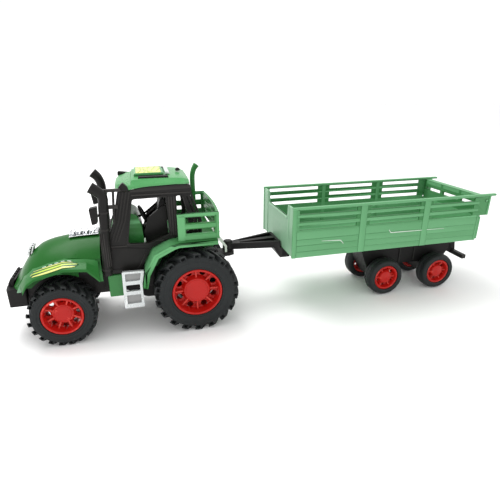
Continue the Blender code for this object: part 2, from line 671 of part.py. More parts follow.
def tow_bracket():
    """Two thin prongs from under the deck down to the tow plate, one each side of the peg."""
    foot = PLATE_TOP + GAP
    prong = [(DECK_END + 0.4, 82.8), (DECK_END + 2.2, 82.8), (36.2, 64.4), (36.2, foot),
             (34.0, foot), (34.0, 63.6), (DECK_END + 0.4, 80.2)]
    bracket = prism("tow_bracket", [prong], span_out(-1, 4.9, 6.1), "white_plastic")
    join(bracket, prism("tow_prong", [prong], span_out(1, 4.9, 6.1)),
         box("tow_crossbar", (DECK_END + GAP, DECK_END + 2.0), (-6.1, 6.1), (80.2, 82.8)))
    clip = cylinder("hitch_clip", (HITCH_X, 0, 58.2), 4.5, 1.4, "black_plastic", "Z", 16)
    cut(clip, cylinder("hitch_clip_bore", (HITCH_X, 0, 58.2), PEG_R + GAP, 4, axis="Z", steps=16))


# ---- trailer ----
def drawbar():
    """A tapered tray with two long grooves, from the capped hitch eye to under the bed."""
    height = [(39, 59.4), (39, 65.2), (44, 65.8), (84, 67.6), (88.9, 67.6), (88.9, 60.5),
              (103, 60.5), (98.6, 50), (88.8, 50), (82, 61), (44, 59.4)]
    plan = [(36, -3.6), (42, -4.4), (84, -15.4), (104, -15.4), (104, 15.4), (84, 15.4), (42, 4.4),
            (36, 3.6)]
    obj = prism("drawbar", [height], (-16, 16), "black_plastic")
    boolean(obj, prism("drawbar_plan", [plan], (40, 80), None, "XY"), "INTERSECT")
    for side in (-1, 1):
        groove = [(50, side * 2.2), (50, side * 4.2), (86, side * 12.0), (86, side * 3.2)]
        cut(obj, prism(f"drawbar_groove_{side}", [groove], (63.2, 70), None, "XY"))
    join(obj, cylinder("drawbar_eye", (HITCH_X, 0, 63.2), 4.3, 7.6, axis="Z", steps=24),
         cylinder("drawbar_cap", (HITCH_X, 0, 68.0), 4.3, 2.4, axis="Z", steps=24, end_radius=2.6))
    cut(obj, cylinder("eye_bore", (HITCH_X, 0, 61.2), PEG_R + GAP, 9, axis="Z", steps=16))


BAYS = ((95.7, 153.5), (167.5, 222.0), (235.8, 285.0))
SLOTS = ((88.0, 91.7), (95.6, 99.3), (103.1, 106.7))


def trailer_body():
    base = box("trailer_body", (BED_FRONT + 1, BED_BACK - 0.5), (-BED_HALF + 1, BED_HALF - 1),
               (BED_BOTTOM + 0.2, BED_FLOOR), "trailer_green")
    outline = [(BED_FRONT, BED_BOTTOM), (BED_BACK, BED_BOTTOM), (BED_BACK, EAR_BOTTOM),
               (EAR_BACK, EAR_BOTTOM), (EAR_BACK, 107), (309.5, 107.6), (309.5, BED_TOP),
               (BED_FRONT, BED_TOP)]
    slots = [[(a, low), (b, low), (b, high), (a, high)] for a, b in BAYS for low, high in SLOTS]
    for side in (-1, 1):
        join(base, prism(f"trailer_side_{side}", [outline] + slots,
                         span_out(side, BED_HALF - 2.4, BED_HALF)))
    wide = BED_HALF - 1
    board = [(-wide, BED_BOTTOM + 1), (wide, BED_BOTTOM + 1), (wide, BED_TOP - 1), (30, BED_TOP - 1),
             (28, 97), (-28, 97), (-30, BED_TOP - 1), (-wide, BED_TOP - 1)]
    join(base, prism("trailer_front", [board], (BED_FRONT + 0.2, BED_FRONT + 2.4), None, "YZ"))
    for side in (-1, 1):
        cut(base, cylinder(f"gate_pivot_bore_{side}", (GATE_AXIS[0], side * 46, GATE_AXIS[1]),
                           1.5, 8, steps=12))


def tailgate():
    wing = BED_HALF - 0.2
    lower = [(-wing, BED_BOTTOM + 1.5), (wing, BED_BOTTOM + 1.5), (wing, 86), (-wing, 86)]
    gate = prism("tailgate", [lower], (BED_BACK + GAP, BED_BACK + 3), "trailer_green", "YZ")
    inner = BED_HALF - 2.8
    upper = [(-inner, 80), (inner, 80), (inner, 107), (-inner, 107)]
    openings = [[(s - 12.6, a), (s + 12.6, a), (s + 12.6, b), (s - 12.6, b)]
                for s in (-29, 0, 29) for a, b in SLOTS[1:]]
    depth = (BED_BACK + GAP + 0.2, BED_BACK + 4.4)
    join(gate, prism("gate_upper", [upper] + openings, depth, None, "YZ"),
         box("gate_top", (BED_BACK + GAP + 0.4, GATE_AXIS[0] + 2), (-inner, inner),
             (GATE_AXIS[1] - 2, 107.2)))
    for side in (-1, 1):
        join(gate, cylinder(f"gate_pivot_{side}",
                            (GATE_AXIS[0], side * (inner + 0.9), GATE_AXIS[1]), 1.2, 3.8, steps=12))


def bogie():
    side = [(176, 60.5), (190, 26), (197, 13), (213.4, 13), (221, 28), (253.8, 28), (261.4, 13),
            (277.8, 13), (283, 26), (292, 40), (292, 60.5)]
    obj = prism("trailer_chassis", [side], (-14, 14), "black_plastic")
    room = [(184, 62), (195, 31), (279, 31), (289.5, 43), (289.5, 62)]
    cut(obj, prism("bogie_room", [room], (-12, 12)))
    for number, axle_x in enumerate(TRAILER_AXLES, 1):
        cut(obj, wheel_bore(f"bogie_bore_{number}", axle_x, TRAILER_TYRE, 14))


def rear_bumper():
    post = [(292.3, 57), (292.3, 50), (300, 47), (304.6, 40), (305.5, 28), (REAR_END, 28),
            (REAR_END, 33), (308.6, 47), (302, 55)]
    obj = prism("rear_bumper", [post], (-3.5, 3.5), "black_plastic")
    join(obj, box("rear_crossbar", (306, REAR_END - 0.2), (-22, 22), (28.2, 32.8)))


wheels()
chassis()
front_bumper()
grille()
friction_drive()
hood()
nose_and_engine()
cab_frame()
roof()
interior()
exhausts_and_mirrors()
ladders_and_tanks()
rear_body()
rack()
horn_pipe()
tow_bracket()
drawbar()
trailer_body()
tailgate()
bogie()
rear_bumper()
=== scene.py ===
"""Looks of the toy tractor and its trailer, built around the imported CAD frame.

Sizes are millimetres from the floor point under the rear axle unless a line says otherwise;
at() turns them into metres in the row frame.
"""
import math

import bmesh
import bpy
from mathutils import Matrix, Vector


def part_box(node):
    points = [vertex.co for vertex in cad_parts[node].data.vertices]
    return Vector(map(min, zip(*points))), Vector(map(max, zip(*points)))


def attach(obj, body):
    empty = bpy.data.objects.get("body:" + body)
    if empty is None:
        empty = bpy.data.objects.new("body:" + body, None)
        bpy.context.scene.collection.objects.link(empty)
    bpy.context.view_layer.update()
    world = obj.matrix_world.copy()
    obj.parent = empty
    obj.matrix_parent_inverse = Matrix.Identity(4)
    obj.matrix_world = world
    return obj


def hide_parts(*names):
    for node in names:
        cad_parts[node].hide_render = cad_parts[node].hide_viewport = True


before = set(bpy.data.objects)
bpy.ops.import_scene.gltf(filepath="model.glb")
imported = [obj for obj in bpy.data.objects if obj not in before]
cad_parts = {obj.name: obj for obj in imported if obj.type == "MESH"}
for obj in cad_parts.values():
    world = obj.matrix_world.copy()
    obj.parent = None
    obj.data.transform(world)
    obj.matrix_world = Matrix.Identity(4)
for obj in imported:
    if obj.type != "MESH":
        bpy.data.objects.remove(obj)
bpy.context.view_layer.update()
MM = 0.001
SIDES = (-1, 1)
REAR_AXLE = (0.0, 38.0)          # x and z of the axles
FRONT_AXLE = (-115.3, 28.3)
TRAILER_AXLES = ((205.2, 19.8), (269.6, 19.8))
AXLE_R = 1.8                     # holes for the axles
HITCH = 38.4                     # x of the hitch peg
AXLE_X = sum(corner.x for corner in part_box("rear_axle")) / 2


def at(x, y, z):
    return Vector((x * MM + AXLE_X, y * MM, z * MM))


def node_box(node):
    """A CAD node's box as ((x, y, z), (x, y, z)) in this script's millimetres."""
    low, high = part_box(node)
    return [((v.x - AXLE_X) / MM, v.y / MM, v.z / MM) for v in (low, high)]


# ---- materials ----
def node(tree, kind, **settings):
    made = tree.nodes.new("ShaderNode" + kind)
    for key, value in settings.items():
        if key in made.inputs.keys():
            made.inputs[key].default_value = value
        else:
            setattr(made, key, value)
    return made


def noise(tree, coords, scale, detail=4.0, rough=0.6):
    made = node(tree, "TexNoise", Scale=scale, Detail=detail, Roughness=rough)
    tree.links.new(coords, made.inputs["Vector"])
    return made.outputs["Fac"]


def remap(tree, value, low, high, out_low, out_high):
    made = node(tree, "MapRange")
    for key, number in (("From Min", low), ("From Max", high), ("To Min", out_low),
                        ("To Max", out_high)):
        made.inputs[key].default_value = number
    tree.links.new(value, made.inputs["Value"])
    return made.outputs["Result"]


def mix(tree, factor, first, second):
    """A colour mix by the factor socket; first and second are sockets or RGB tuples."""
    made = node(tree, "Mix", data_type="RGBA")
    for socket, value in ((made.inputs[6], first), (made.inputs[7], second)):
        if isinstance(value, tuple):
            socket.default_value = (*value, 1.0)
        else:
            tree.links.new(value, socket)
    tree.links.new(factor, made.inputs[0])
    return made.outputs[2]


def scaled(colour, share):
    return tuple(min(1.0, c * share) for c in colour)


def surface(name, colour, rough=0.35, metallic=0.0, coat=0.0, spread=0.10, grain=0.10,
            edge=None, dust=0.0, spec=0.35, ripple=0.04, speckle=0.12):
    """Moulded plastic, rubber or metal: drifting colour, uneven gloss, fine grain, and a painted highlight
    on sharp edges.
    """
    mat = bpy.data.materials.new(name)
    mat.use_nodes = True
    tree = mat.node_tree
    shader = tree.nodes["Principled BSDF"]
    shader.inputs["Metallic"].default_value = metallic
    shader.inputs["Coat Weight"].default_value = coat
    shader.inputs["Coat Roughness"].default_value = 0.12
    shader.inputs["Specular IOR Level"].default_value = spec
    coords = node(tree, "TexCoord").outputs["Object"]
    drift = noise(tree, coords, 22.0, 3.0)
    mottle = noise(tree, coords, 420.0, 5.0)
    paint = mix(tree, remap(tree, drift, 0.3, 0.7, 0.0, 1.0), scaled(colour, 1 - spread),
                scaled(colour, 1 + spread))
    paint = mix(tree, remap(tree, mottle, 0.35, 0.75, 0.0, speckle), paint, scaled(colour, 1.25))
    if edge:
        # Sharp edges are mixed towards the lighter edge colour: a painted highlight.
        point = node(tree, "NewGeometry").outputs["Pointiness"]
        edge_highlight = remap(tree, point, 0.515, 0.60, 0.0, 0.75)
        paint = mix(tree, edge_highlight, paint, edge)
    if dust:
        facing = node(tree, "SeparateXYZ")
        tree.links.new(node(tree, "NewGeometry").outputs["Normal"], facing.inputs[0])
        lying = remap(tree, facing.outputs["Z"], 0.2, 1.0, 0.0, dust)
        paint = mix(tree, lying, paint, (0.55, 0.53, 0.50))
    tree.links.new(paint, shader.inputs["Base Color"])
    gloss = remap(tree, mottle, 0.3, 0.8, rough * 0.82, min(1.0, rough * 1.25))
    tree.links.new(gloss, shader.inputs["Roughness"])
    fine = node(tree, "Bump", Strength=grain, Distance=0.00012)
    tree.links.new(noise(tree, coords, 1900.0, 3.0, 0.7), fine.inputs["Height"])
    waves = node(tree, "Bump", Strength=ripple, Distance=0.0012)
    tree.links.new(noise(tree, coords, 75.0, 2.0), waves.inputs["Height"])
    tree.links.new(fine.outputs["Normal"], waves.inputs["Normal"])
    tree.links.new(waves.outputs["Normal"], shader.inputs["Normal"])
    return mat


# Each look's edge colour is a lighter tone that the Pointiness mask lays on sharp edges as a painted
# highlight.
LOOKS = {
    "green": surface("moulded_tractor_green", (0.021, 0.160, 0.027), 0.34, coat=0.03, spec=0.25,
                     edge=(0.16, 0.46, 0.20), speckle=0.05, spread=0.06),
    # A darker copy of the tractor green for the hood and front fenders: painted shade.
    "painted_shade_green": surface("tractor_green_painted_shade", (0.014, 0.110, 0.016), 0.32, coat=0.02,
                          edge=(0.08, 0.30, 0.10), speckle=0.05, spread=0.06, spec=0.12),
    # A lighter copy of the tractor green for the roof and hatch: painted light falling from above.
    "painted_light_green": surface("tractor_green_painted_light", (0.062, 0.290, 0.086), 0.30, coat=0.08,
                          edge=(0.22, 0.55, 0.27), speckle=0.05, spread=0.06),
    "trailer": surface("moulded_trailer_green", (0.027, 0.155, 0.040), 0.42, spec=0.25,
                       edge=(0.20, 0.50, 0.25), grain=0.16),
    # A pale, greyed green: painted reflection of bright surroundings on faces turned to the front, for the
    # trailer's front board and the fender corners.
    "board": surface("pale_green_painted_glare", (0.190, 0.370, 0.225), 0.46,
                     edge=(0.34, 0.58, 0.38), grain=0.16),
    "black": surface("moulded_black", (0.0070, 0.0068, 0.0068), 0.46, spread=0.2, grain=0.18,
                     edge=(0.034, 0.032, 0.031), spec=0.16),
    "cab_black": surface("moulded_cab_black", (0.0095, 0.0090, 0.0085), 0.36, spread=0.2,
                         grain=0.12, edge=(0.050, 0.046, 0.043), spec=0.18),
    "tyre": surface("soft_tyre_vinyl", (0.0120, 0.0145, 0.0150), 0.55, spread=0.25, grain=0.35,
                    edge=(0.036, 0.039, 0.041), dust=0.02, spec=0.25),
    "red": surface("moulded_red", (0.44, 0.009, 0.006), 0.32, coat=0.03, spec=0.25,
                   edge=(0.72, 0.07, 0.05), spread=0.08),
    "silver": surface("silver_paint", (0.60, 0.63, 0.63), 0.26, metallic=0.45, spread=0.05,
                      edge=(0.88, 0.89, 0.89)),
    # Grey for the plates behind the ladder's cells: painted shade of what lies behind them.
    "ladder_cell_shade": surface("shaded_plate", (0.16, 0.165, 0.16), 0.4, metallic=0.2, spread=0.1,
                           edge=(0.4, 0.4, 0.4)),
    "chrome": surface("plated_chrome", (0.66, 0.67, 0.69), 0.12, metallic=1.0, spread=0.05,
                      grain=0.05),
    "steel": surface("turned_steel", (0.54, 0.55, 0.57), 0.28, metallic=1.0),
    "white": surface("moulded_white", (0.70, 0.78, 0.68), 0.40, coat=0.1, spread=0.04),
    "clear": surface("frosted_lens", (0.70, 0.74, 0.73), 0.14, metallic=0.25, spread=0.05),
    "decal_yellow": surface("decal_yellow", (0.72, 0.74, 0.20), 0.24, coat=0.2, spread=0.12),
    "decal_lime": surface("decal_lime", (0.50, 0.66, 0.07), 0.24, coat=0.2, spread=0.12),
    "decal_white": surface("decal_white", (0.66, 0.76, 0.66), 0.26, coat=0.2, spread=0.05),
    "decal_dark": surface("decal_dark", (0.016, 0.10, 0.022), 0.28, coat=0.2, spread=0.1),
}


# ---- mesh helpers: each returns a bmesh in metres in the row frame ----
def block(xs, ys, zs):
    bm = bmesh.new()
    low, high = at(xs[0], ys[0], zs[0]), at(xs[1], ys[1], zs[1])
    place = Matrix.Translation((low + high) / 2) @ Matrix.Diagonal((*(high - low), 1.0))
    bmesh.ops.create_cube(bm, size=1.0, matrix=place)
    return bm


def prism(loops, span, plane="XZ"):
    """A flat outline with holes, pushed through span along the axis that plane leaves out."""
    curve = bpy.data.curves.new("outline", "CURVE")
    curve.dimensions = "2D"
    curve.fill_mode = "BOTH"
    curve.extrude = abs(span[1] - span[0]) / 2 * MM
    for loop in loops:
        spline = curve.splines.new("POLY")
        spline.points.add(len(loop) - 1)
        spline.use_cyclic_u = True
        for point, (u, v) in zip(spline.points, loop):
            point.co = (u * MM, v * MM, 0.0, 1.0)
    holder = bpy.data.objects.new("outline", curve)
    bpy.context.scene.collection.objects.link(holder)
    mesh = bpy.data.meshes.new_from_object(
        holder.evaluated_get(bpy.context.evaluated_depsgraph_get()))
    bpy.data.objects.remove(holder, do_unlink=True)
    middle = (span[0] + span[1]) / 2 * MM
    quarter = math.pi / 2
    place = {
        "XZ": Matrix.Translation((AXLE_X, middle, 0)) @ Matrix.Rotation(quarter, 4, "X"),
        "XY": Matrix.Translation((AXLE_X, 0, middle)),
        "YZ": Matrix.Translation((middle + AXLE_X, 0, 0)) @ Matrix.Rotation(quarter, 4, "Z")
        @ Matrix.Rotation(quarter, 4, "X"),
    }[plane]
    bm = bmesh.new()
    bm.from_mesh(mesh)
    bpy.data.meshes.remove(mesh)
    bmesh.ops.remove_doubles(bm, verts=bm.verts, dist=1e-6)
    bmesh.ops.transform(bm, matrix=place, verts=bm.verts)
    return bm


def skin(rings, caps=True, closed=True):
    """A surface through rings of Vector points, each with the same number."""
    bm = bmesh.new()
    rows = [[bm.verts.new(point) for point in ring] for ring in rings]
    for first, second in zip(rows, rows[1:]):
        count = len(first)
        for i in range(count if closed else count - 1):
            j = (i + 1) % count
            bm.faces.new((first[i], first[j], second[j], second[i]))
    if caps:
        for row in (rows[0], rows[-1]):
            bm.faces.new(row)
    return bm


def tube(path, radii, steps=20, caps=True):
    """A round bar through (x, y, z) points; radii is one number or one per point."""
    spots = [at(*point) for point in path]
    if not isinstance(radii, (list, tuple)):
        radii = [radii] * len(spots)
    rings = []
    across = None
    for i, spot in enumerate(spots):
        ahead = (spots[min(i + 1, len(spots) - 1)] - spots[max(i - 1, 0)]).normalized()
        across = ahead.orthogonal() if across is None else across - across.project(ahead)
        across.normalize()
        up = ahead.cross(across)
        angles = (2 * math.pi * k / steps for k in range(steps))
        rings.append([spot + (math.cos(a) * across + math.sin(a) * up) * radii[i] * MM
                      for a in angles])
    return skin(rings, caps)


def rod(centre, radius, length, axis="Y", steps=32, end_radius=None):
    bm = bmesh.new()
    turn = {"X": Matrix.Rotation(math.pi / 2, 4, "Y"),
            "Y": Matrix.Rotation(-math.pi / 2, 4, "X"),
            "Z": Matrix.Identity(4)}[axis]
    bmesh.ops.create_cone(bm, cap_ends=True, segments=steps, radius1=radius * MM,
                          radius2=(radius if end_radius is None else end_radius) * MM,
                          depth=length * MM, matrix=Matrix.Translation(at(*centre)) @ turn)
    return bm


def turned(profile, centre, side, steps=72):
    """A solid of revolution about Y from (radius, distance out from centre) points."""
    bm = bmesh.new()
    points = [bm.verts.new((radius * MM, 0.0, out * side * MM)) for radius, out in profile]
    loop = profile[0][0] > 0
    pairs = zip(points, points[1:] + points[:1]) if loop else zip(points, points[1:])
    edges = [bm.edges.new(pair) for pair in pairs]
    bmesh.ops.spin(bm, geom=points + edges, cent=(0, 0, 0), axis=(0, 0, 1),
                   angle=2 * math.pi, steps=steps, use_merge=True)
    bmesh.ops.remove_doubles(bm, verts=bm.verts, dist=1e-7)
    place = Matrix.Translation(at(*centre)) @ Matrix.Rotation(-math.pi / 2, 4, "X")
    bmesh.ops.transform(bm, matrix=place, verts=bm.verts)
    return bm


def ring_of(centre, radius, thick, normal, steps=40, sides=12):
    """A torus with its hole along normal."""
    turn = Vector(normal).normalized().to_track_quat("Z", "Y").to_matrix()
    rings = []
    for i in range(steps):
        a = 2 * math.pi * i / steps
        out = Vector((math.cos(a), math.sin(a), 0))
        ring = []
        for k in range(sides):
            b = 2 * math.pi * k / sides
            spot = out * (radius + thick * math.cos(b)) + Vector((0, 0, thick * math.sin(b)))
            ring.append(at(*centre) + turn @ spot * MM)
        rings.append(ring)
    return skin(rings + [rings[0]], caps=False)


def merged(*parts):
    """Several bmeshes in one."""
    whole = bmesh.new()
    for part in parts:
        mesh = bpy.data.meshes.new("part")
        part.to_mesh(mesh)
        part.free()
        whole.from_mesh(mesh)
        bpy.data.meshes.remove(mesh)
    return whole


def as_object(bm, name="tool"):
    bmesh.ops.remove_doubles(bm, verts=bm.verts, dist=1e-7)
    bmesh.ops.recalc_face_normals(bm, faces=bm.faces)
    mesh = bpy.data.meshes.new(name)
    bm.to_mesh(mesh)
    bm.free()
    obj = bpy.data.objects.new(name, mesh)
    bpy.context.scene.collection.objects.link(obj)
    return obj


def modify(obj, name, kind, **settings):
    step = obj.modifiers.new(name, kind)
    for key, value in settings.items():
        setattr(step, key, value)


def carved(bm, cutters, operation="DIFFERENCE"):
    """bm with every cutter taken away, or joined on."""
    obj = as_object(bm)
    tools = [as_object(cutter) for cutter in cutters]
    for tool in tools:
        modify(obj, "step", "BOOLEAN", operation=operation, object=tool)
    result = bmesh.new()
    result.from_object(obj, bpy.context.evaluated_depsgraph_get())
    for thing in [obj] + tools:
        bpy.data.objects.remove(thing, do_unlink=True)
    return result


def piece(name, bm, look, replaces=(), body="tractor", bevel=0.0, segments=2, sharp=35, thick=0.0):
    """Turns a bmesh into a finished piece that rides on body and stands for the CAD nodes replaces."""
    obj = as_object(bm, name)
    mesh = obj.data
    mesh.shade_smooth()
    mesh.set_sharp_from_angle(angle=math.radians(sharp))
    mesh.materials.append(LOOKS[look])
    if thick:
        modify(obj, "wall", "SOLIDIFY", thickness=thick * MM, offset=-1)
    if bevel:
        modify(obj, "edges", "BEVEL", width=bevel * MM, segments=segments, limit_method="ANGLE",
               angle_limit=math.radians(30), use_clamp_overlap=True)
        modify(obj, "flats", "WEIGHTED_NORMAL", keep_sharp=False)
    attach(obj, body)
    if replaces:
        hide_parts(*replaces)
    return obj


def mirrored(points):
    return points + [(-y, z) for y, z in reversed(points) if abs(y) > 1e-9]


def out_from(side, inner, outer):
    return tuple(sorted((side * inner, side * outer)))


def both_sides(make):
    for side, suffix in zip(SIDES, ("left", "right")):
        make(side, suffix)


def recolour(node_name, look):
    """Gives a CAD node that stays visible one of this script's materials."""
    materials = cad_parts[node_name].data.materials
    materials.clear()
    materials.append(LOOKS[look])


def catmull(rows, i, t):
    """Every column of rows on a Catmull-Rom curve, at t of the way from row i to the next."""
    four = rows[max(i - 1, 0)], rows[i], rows[i + 1], rows[min(i + 2, len(rows) - 1)]
    return [0.5 * (2 * b + (c - a) * t + (2 * a - 5 * b + 4 * c - d) * t * t
                   + (3 * b - a - 3 * c + d) * t ** 3) for a, b, c, d in zip(*four)]


def place_in(table, x):
    """The table's row before x, and how far x is on the way to the next row."""
    i = 0
    while i < len(table) - 2 and x > table[i + 1][0]:
        i += 1
    return i, (x - table[i][0]) / (table[i + 1][0] - table[i][0])


def row_at(table, x):
    """Every column of a table at x, on straight lines between its rows."""
    i, t = place_in(table, x)
    return [a + (b - a) * t for a, b in zip(table[i], table[i + 1])]


def rect(x0, z0, x1, z1, corner=0.0):
    """A rectangle's outline, with its corners rounded by corner millimetres."""
    if not corner:
        return [(x0, z0), (x1, z0), (x1, z1), (x0, z1)]
    points = []
    for cx, cz, start in ((x1 - corner, z0 + corner, -90), (x1 - corner, z1 - corner, 0),
                          (x0 + corner, z1 - corner, 90), (x0 + corner, z0 + corner, 180)):
        for k in range(5):
            a = math.radians(start + 22.5 * k)
            points.append((cx + corner * math.cos(a), cz + corner * math.sin(a)))
    return points


def rounded(outline, corner, steps=4):
    """An outline with every corner rounded off, starting corner millimetres from it."""
    points = []
    count = len(outline)
    for i, (x, z) in enumerate(outline):
        here = Vector((x, z))
        before, after = Vector(outline[i - 1]), Vector(outline[(i + 1) % count])
        reach = min(corner, (before - here).length * 0.45, (after - here).length * 0.45)
        start = here + (before - here).normalized() * reach
        end = here + (after - here).normalized() * reach
        for k in range(steps + 1):
            t = k / steps
            spot = start * (1 - t) ** 2 + here * 2 * t * (1 - t) + end * t * t
            points.append((spot.x, spot.y))
    return points


def slab(outline, corner, span, plane="XZ", steps=4):
    """A flat outline with its corners rounded off, pushed through span."""
    return prism([rounded(outline, corner, steps)], span, plane)


def axle_holes(spots, length):
    return [rod((x, 0, z), AXLE_R, length, steps=24) for x, z in spots]


# ---- wheels ----
REAR_RIM = {"size": 22.4, "hub": 11.9, "holes": 8, "phase": 0.0, "hole_r": 2.9, "depth": 9.5,
            "drop": 5.4}
FRONT_RIM = {"size": 17.25, "hub": 9.0, "holes": 8, "phase": 0.5, "hole_r": 2.3, "depth": 8.5,
             "drop": 5.4}
TRAILER_RIM = {"size": 13.4, "hub": 7.5, "holes": 6, "phase": 0.0, "hole_r": 1.5, "depth": 5.4,
               "drop": 2.0, "dome": 1.8}
RIM_GAP = 0.3                    # between a rim and its tyre's bore


def lug(centre, side, radius, half, angle, sweep, pitch, base, foot):
    """One tread block from the middle line out over the shoulder, with a pocket in its end."""
    stations = [(-1.4, base, radius - 0.6, 0.17), (1.5, base, radius - 0.1, 0.17),
                (half * 0.55, base, radius, 0.20), (half - 2.2, foot - 1.0, radius, 0.23),
                (half - 0.9, foot - 0.4, radius - 0.2, 0.23),
                (half - 0.25, foot, radius - 0.6, 0.23), (half - 0.1, foot + 0.3, radius - 0.9, 0.21),
                (half - 0.1, foot + 0.7, radius - 1.5, 0.16),
                (half - 3.2, foot + 0.8, radius - 1.6, 0.15)]
    rings = []
    for out, low, high, share in stations:
        turn = angle + sweep * max(out, -1.4) / half
        ring = []
        for r, edge in ((low, -1), (high, -1), (high + 0.08, 0), (high, 1), (low, 1)):
            a = turn + edge * pitch * share
            ring.append(at(centre[0] + r * math.cos(a), centre[1] + side * out,
                           centre[2] + r * math.sin(a)))
        rings.append(ring)
    return skin(rings)


def round_box(name):
    """The centre, radius and half width of a wheel part's CAD node."""
    low, high = node_box(name)
    return [(a + b) / 2 for a, b in zip(low, high)], (high[2] - low[2]) / 2, (high[1] - low[1]) / 2


def lugged_tyre(name, side, body, rim_size, lugs):
    centre, radius, half = round_box(name)
    tread, foot, bore = radius * 0.90, radius * 0.845, rim_size + RIM_GAP
    wall = [(bore, half - 2.0), (bore + 0.3, half - 0.9), (bore + 1.0, half - 0.5),
            (bore + 1.8, half - 0.9), (bore + 2.2, half - 0.95), (bore + 2.8, half - 0.55),
            (foot - 2.4, half - 0.25), (foot - 1.9, half - 0.5), (foot - 1.4, half - 0.3),
            (foot, half - 0.35), (tread - 0.3, half - 0.8), (tread, half - 2.0),
            (tread + 0.25, 0)]
    profile = wall + [(r, -out) for r, out in reversed(wall[:-1])]
    parts = [turned(profile, centre, side, 96)]
    pitch = 2 * math.pi / lugs
    for row, shift in ((1, 0.25), (-1, 0.75)):
        for k in range(lugs):
            parts.append(lug(centre, side * row, radius, half, pitch * (k + shift), -pitch * 0.85,
                             pitch, tread - 1.2, foot))
    piece(name.replace("tyre", "lug_tyre"), merged(*parts), "tyre", [name], body, bevel=0.22)


def road_tyre(name, side, body, rim_size):
    centre, radius, half = round_box(name)
    bore = rim_size + RIM_GAP
    outer = [(bore, half - 1.6), (bore + 0.4, half - 0.5), (bore + 1.1, half - 0.05),
             (bore + 1.7, half - 0.25), (bore + 2.1, half - 0.25), (bore + 2.6, half - 0.02),
             (radius * 0.89, half - 0.25), (radius * 0.935, half - 0.8),
             (radius * 0.97, half - 1.9), (radius * 0.99, half - 3.2), (radius, half - 4.6),
             (radius, 2.75), (radius - 0.5, 2.65), (radius - 0.5, 2.15), (radius, 2.05)]
    profile = outer + [(r, -out) for r, out in reversed(outer)]
    piece(name.replace("tyre", "road_tyre"), turned(profile, centre, side, 80), "tyre", [name],
          body)


def dished_rim(name, side, body, size, hub, holes, phase, hole_r, depth, drop, dome=0.0):
    """A rim with a plate depth below its lip, and its hub's face drop below it."""
    low, high = node_box(name)
    x, z = (low[0] + high[0]) / 2, (low[2] + high[2]) / 2
    back, lip = sorted((abs(low[1]), abs(high[1])))
    if dome:
        lip = lip - 0.2
    plate, face = lip - depth, lip - drop
    profile = [(0, face + dome), (hub * 0.35, face + dome * 0.94), (hub * 0.62, face + dome * 0.72)]
    if dome:
        skirt, ring_share, half = 0.4, 0.5, 0.6
        profile += [(hub * 0.85, face + dome * 0.3), (hub - 0.2, face - 0.8)]
    else:
        skirt, ring_share, half = 1.5, 0.6, 0.85
        profile += [(hub - 2.2, face), (hub - 1.9, face - 0.3), (hub - 1.5, face - 0.3),
                    (hub - 1.2, face), (hub - 0.5, face - 0.15), (hub, face - 0.8)]
    profile += [(hub + skirt, plate + 0.7), (hub + skirt + 0.5, plate), (size - 4.0, plate),
                (size - 3.2, plate + 0.6), (size - 2.3, lip - 1.0), (size - 1.9, lip - 0.25),
                (size - 1.6, lip), (size - 0.5, lip), (size, lip - 0.5), (size, back),
                (size - 1.5, back), (size - 1.7, plate - 1.8), (5.2, plate - 1.8),
                (4.6, back), (0, back)]
    ring = hub + (size - 2.4 - hub) * ring_share
    openings, ribs = [], []
    for k in range(holes):
        a = 2 * math.pi * (k + 0.5 + phase) / holes
        openings.append(rod((x + ring * math.cos(a), side * plate, z + ring * math.sin(a)),
                            hole_r, 12, steps=20))
        a = 2 * math.pi * (k + phase) / holes
        radial = Vector((math.cos(a), 0, math.sin(a)))
        across = Vector((-math.sin(a), 0, math.cos(a)))
        ends = []
        for r, top in ((hub - 0.6, 1.8), (size - 2.0, 2.6)):
            foot = at(x, side * (plate + 0.8), z) + radial * r * MM
            ends.append([foot + (across * w + Vector((0, side * up, 0))) * MM for w, up in
                         ((-half, -1.2), (half, -1.2), (half - 0.2, top), (0.2 - half, top))])
        ribs.append(skin(ends))
    rim = carved(turned(profile, (x, 0, z), side), [merged(*openings)])
    piece(name.replace("rim", "spoked_rim"), merged(rim, *ribs), "red", [name], body, bevel=0.16)


def wheels(prefix, body, rim, lugs=0):
    """Both wheels of one axle: lugged tyres where lugs is given, otherwise road tyres."""
    def one(side, suffix):
        tyre = f"{prefix}_tyre_{suffix}"
        if lugs:
            lugged_tyre(tyre, side, body, rim["size"], lugs)
        else:
            road_tyre(tyre, side, body, rim["size"])
        dished_rim(f"{prefix}_rim_{suffix}", side, body, **rim)
    both_sides(one)
    recolour(prefix + "_axle", "steel")


# ---- hood and nose ----
# Rows of the hood: x, half width, shoulder height, crown height.
HOOD = [(-155.2, 17, 48.5, 50.8), (-152.6, 21.5, 50.5, 55.6), (-149.5, 24.4, 53.0, 60.4),
        (-144.6, 26.2, 59.5, 67.7), (-138.7, 27, 65, 74.4), (-130.6, 27.5, 68.8, 80.6),
        (-120.8, 28, 71.8, 84.0), (-106, 28, 74.8, 86.2), (-93, 28, 72.8, 87.2),
        (-80.4, 28, 71.8, 87.6)]
# Rows of a front fender: x, y and z of its inner edge, x and z of its outer edge.
FENDER = [(-149.3, 22.6, 53.0, -142.6, 53.6), (-143.5, 25.0, 61.0, -138.6, 60.2),
          (-135, 26.6, 67.4, -132.5, 64.6), (-122.8, 26.8, 71.6, -121.3, 67.4),
          (-109, 26.8, 74.6, -109.5, 70.4), (-91, 26.8, 72.4, -91, 68.6),
          (-82.5, 26.8, 71.0, -81.6, 58.0)]
FENDER_HALF = 42.0
HOOD_SAMPLES = 18                # points on half of the hood's outline


def wheel_well(side, radius):
    return rod((FRONT_AXLE[0], side * 34, FRONT_AXLE[1]), radius, 27, steps=64)


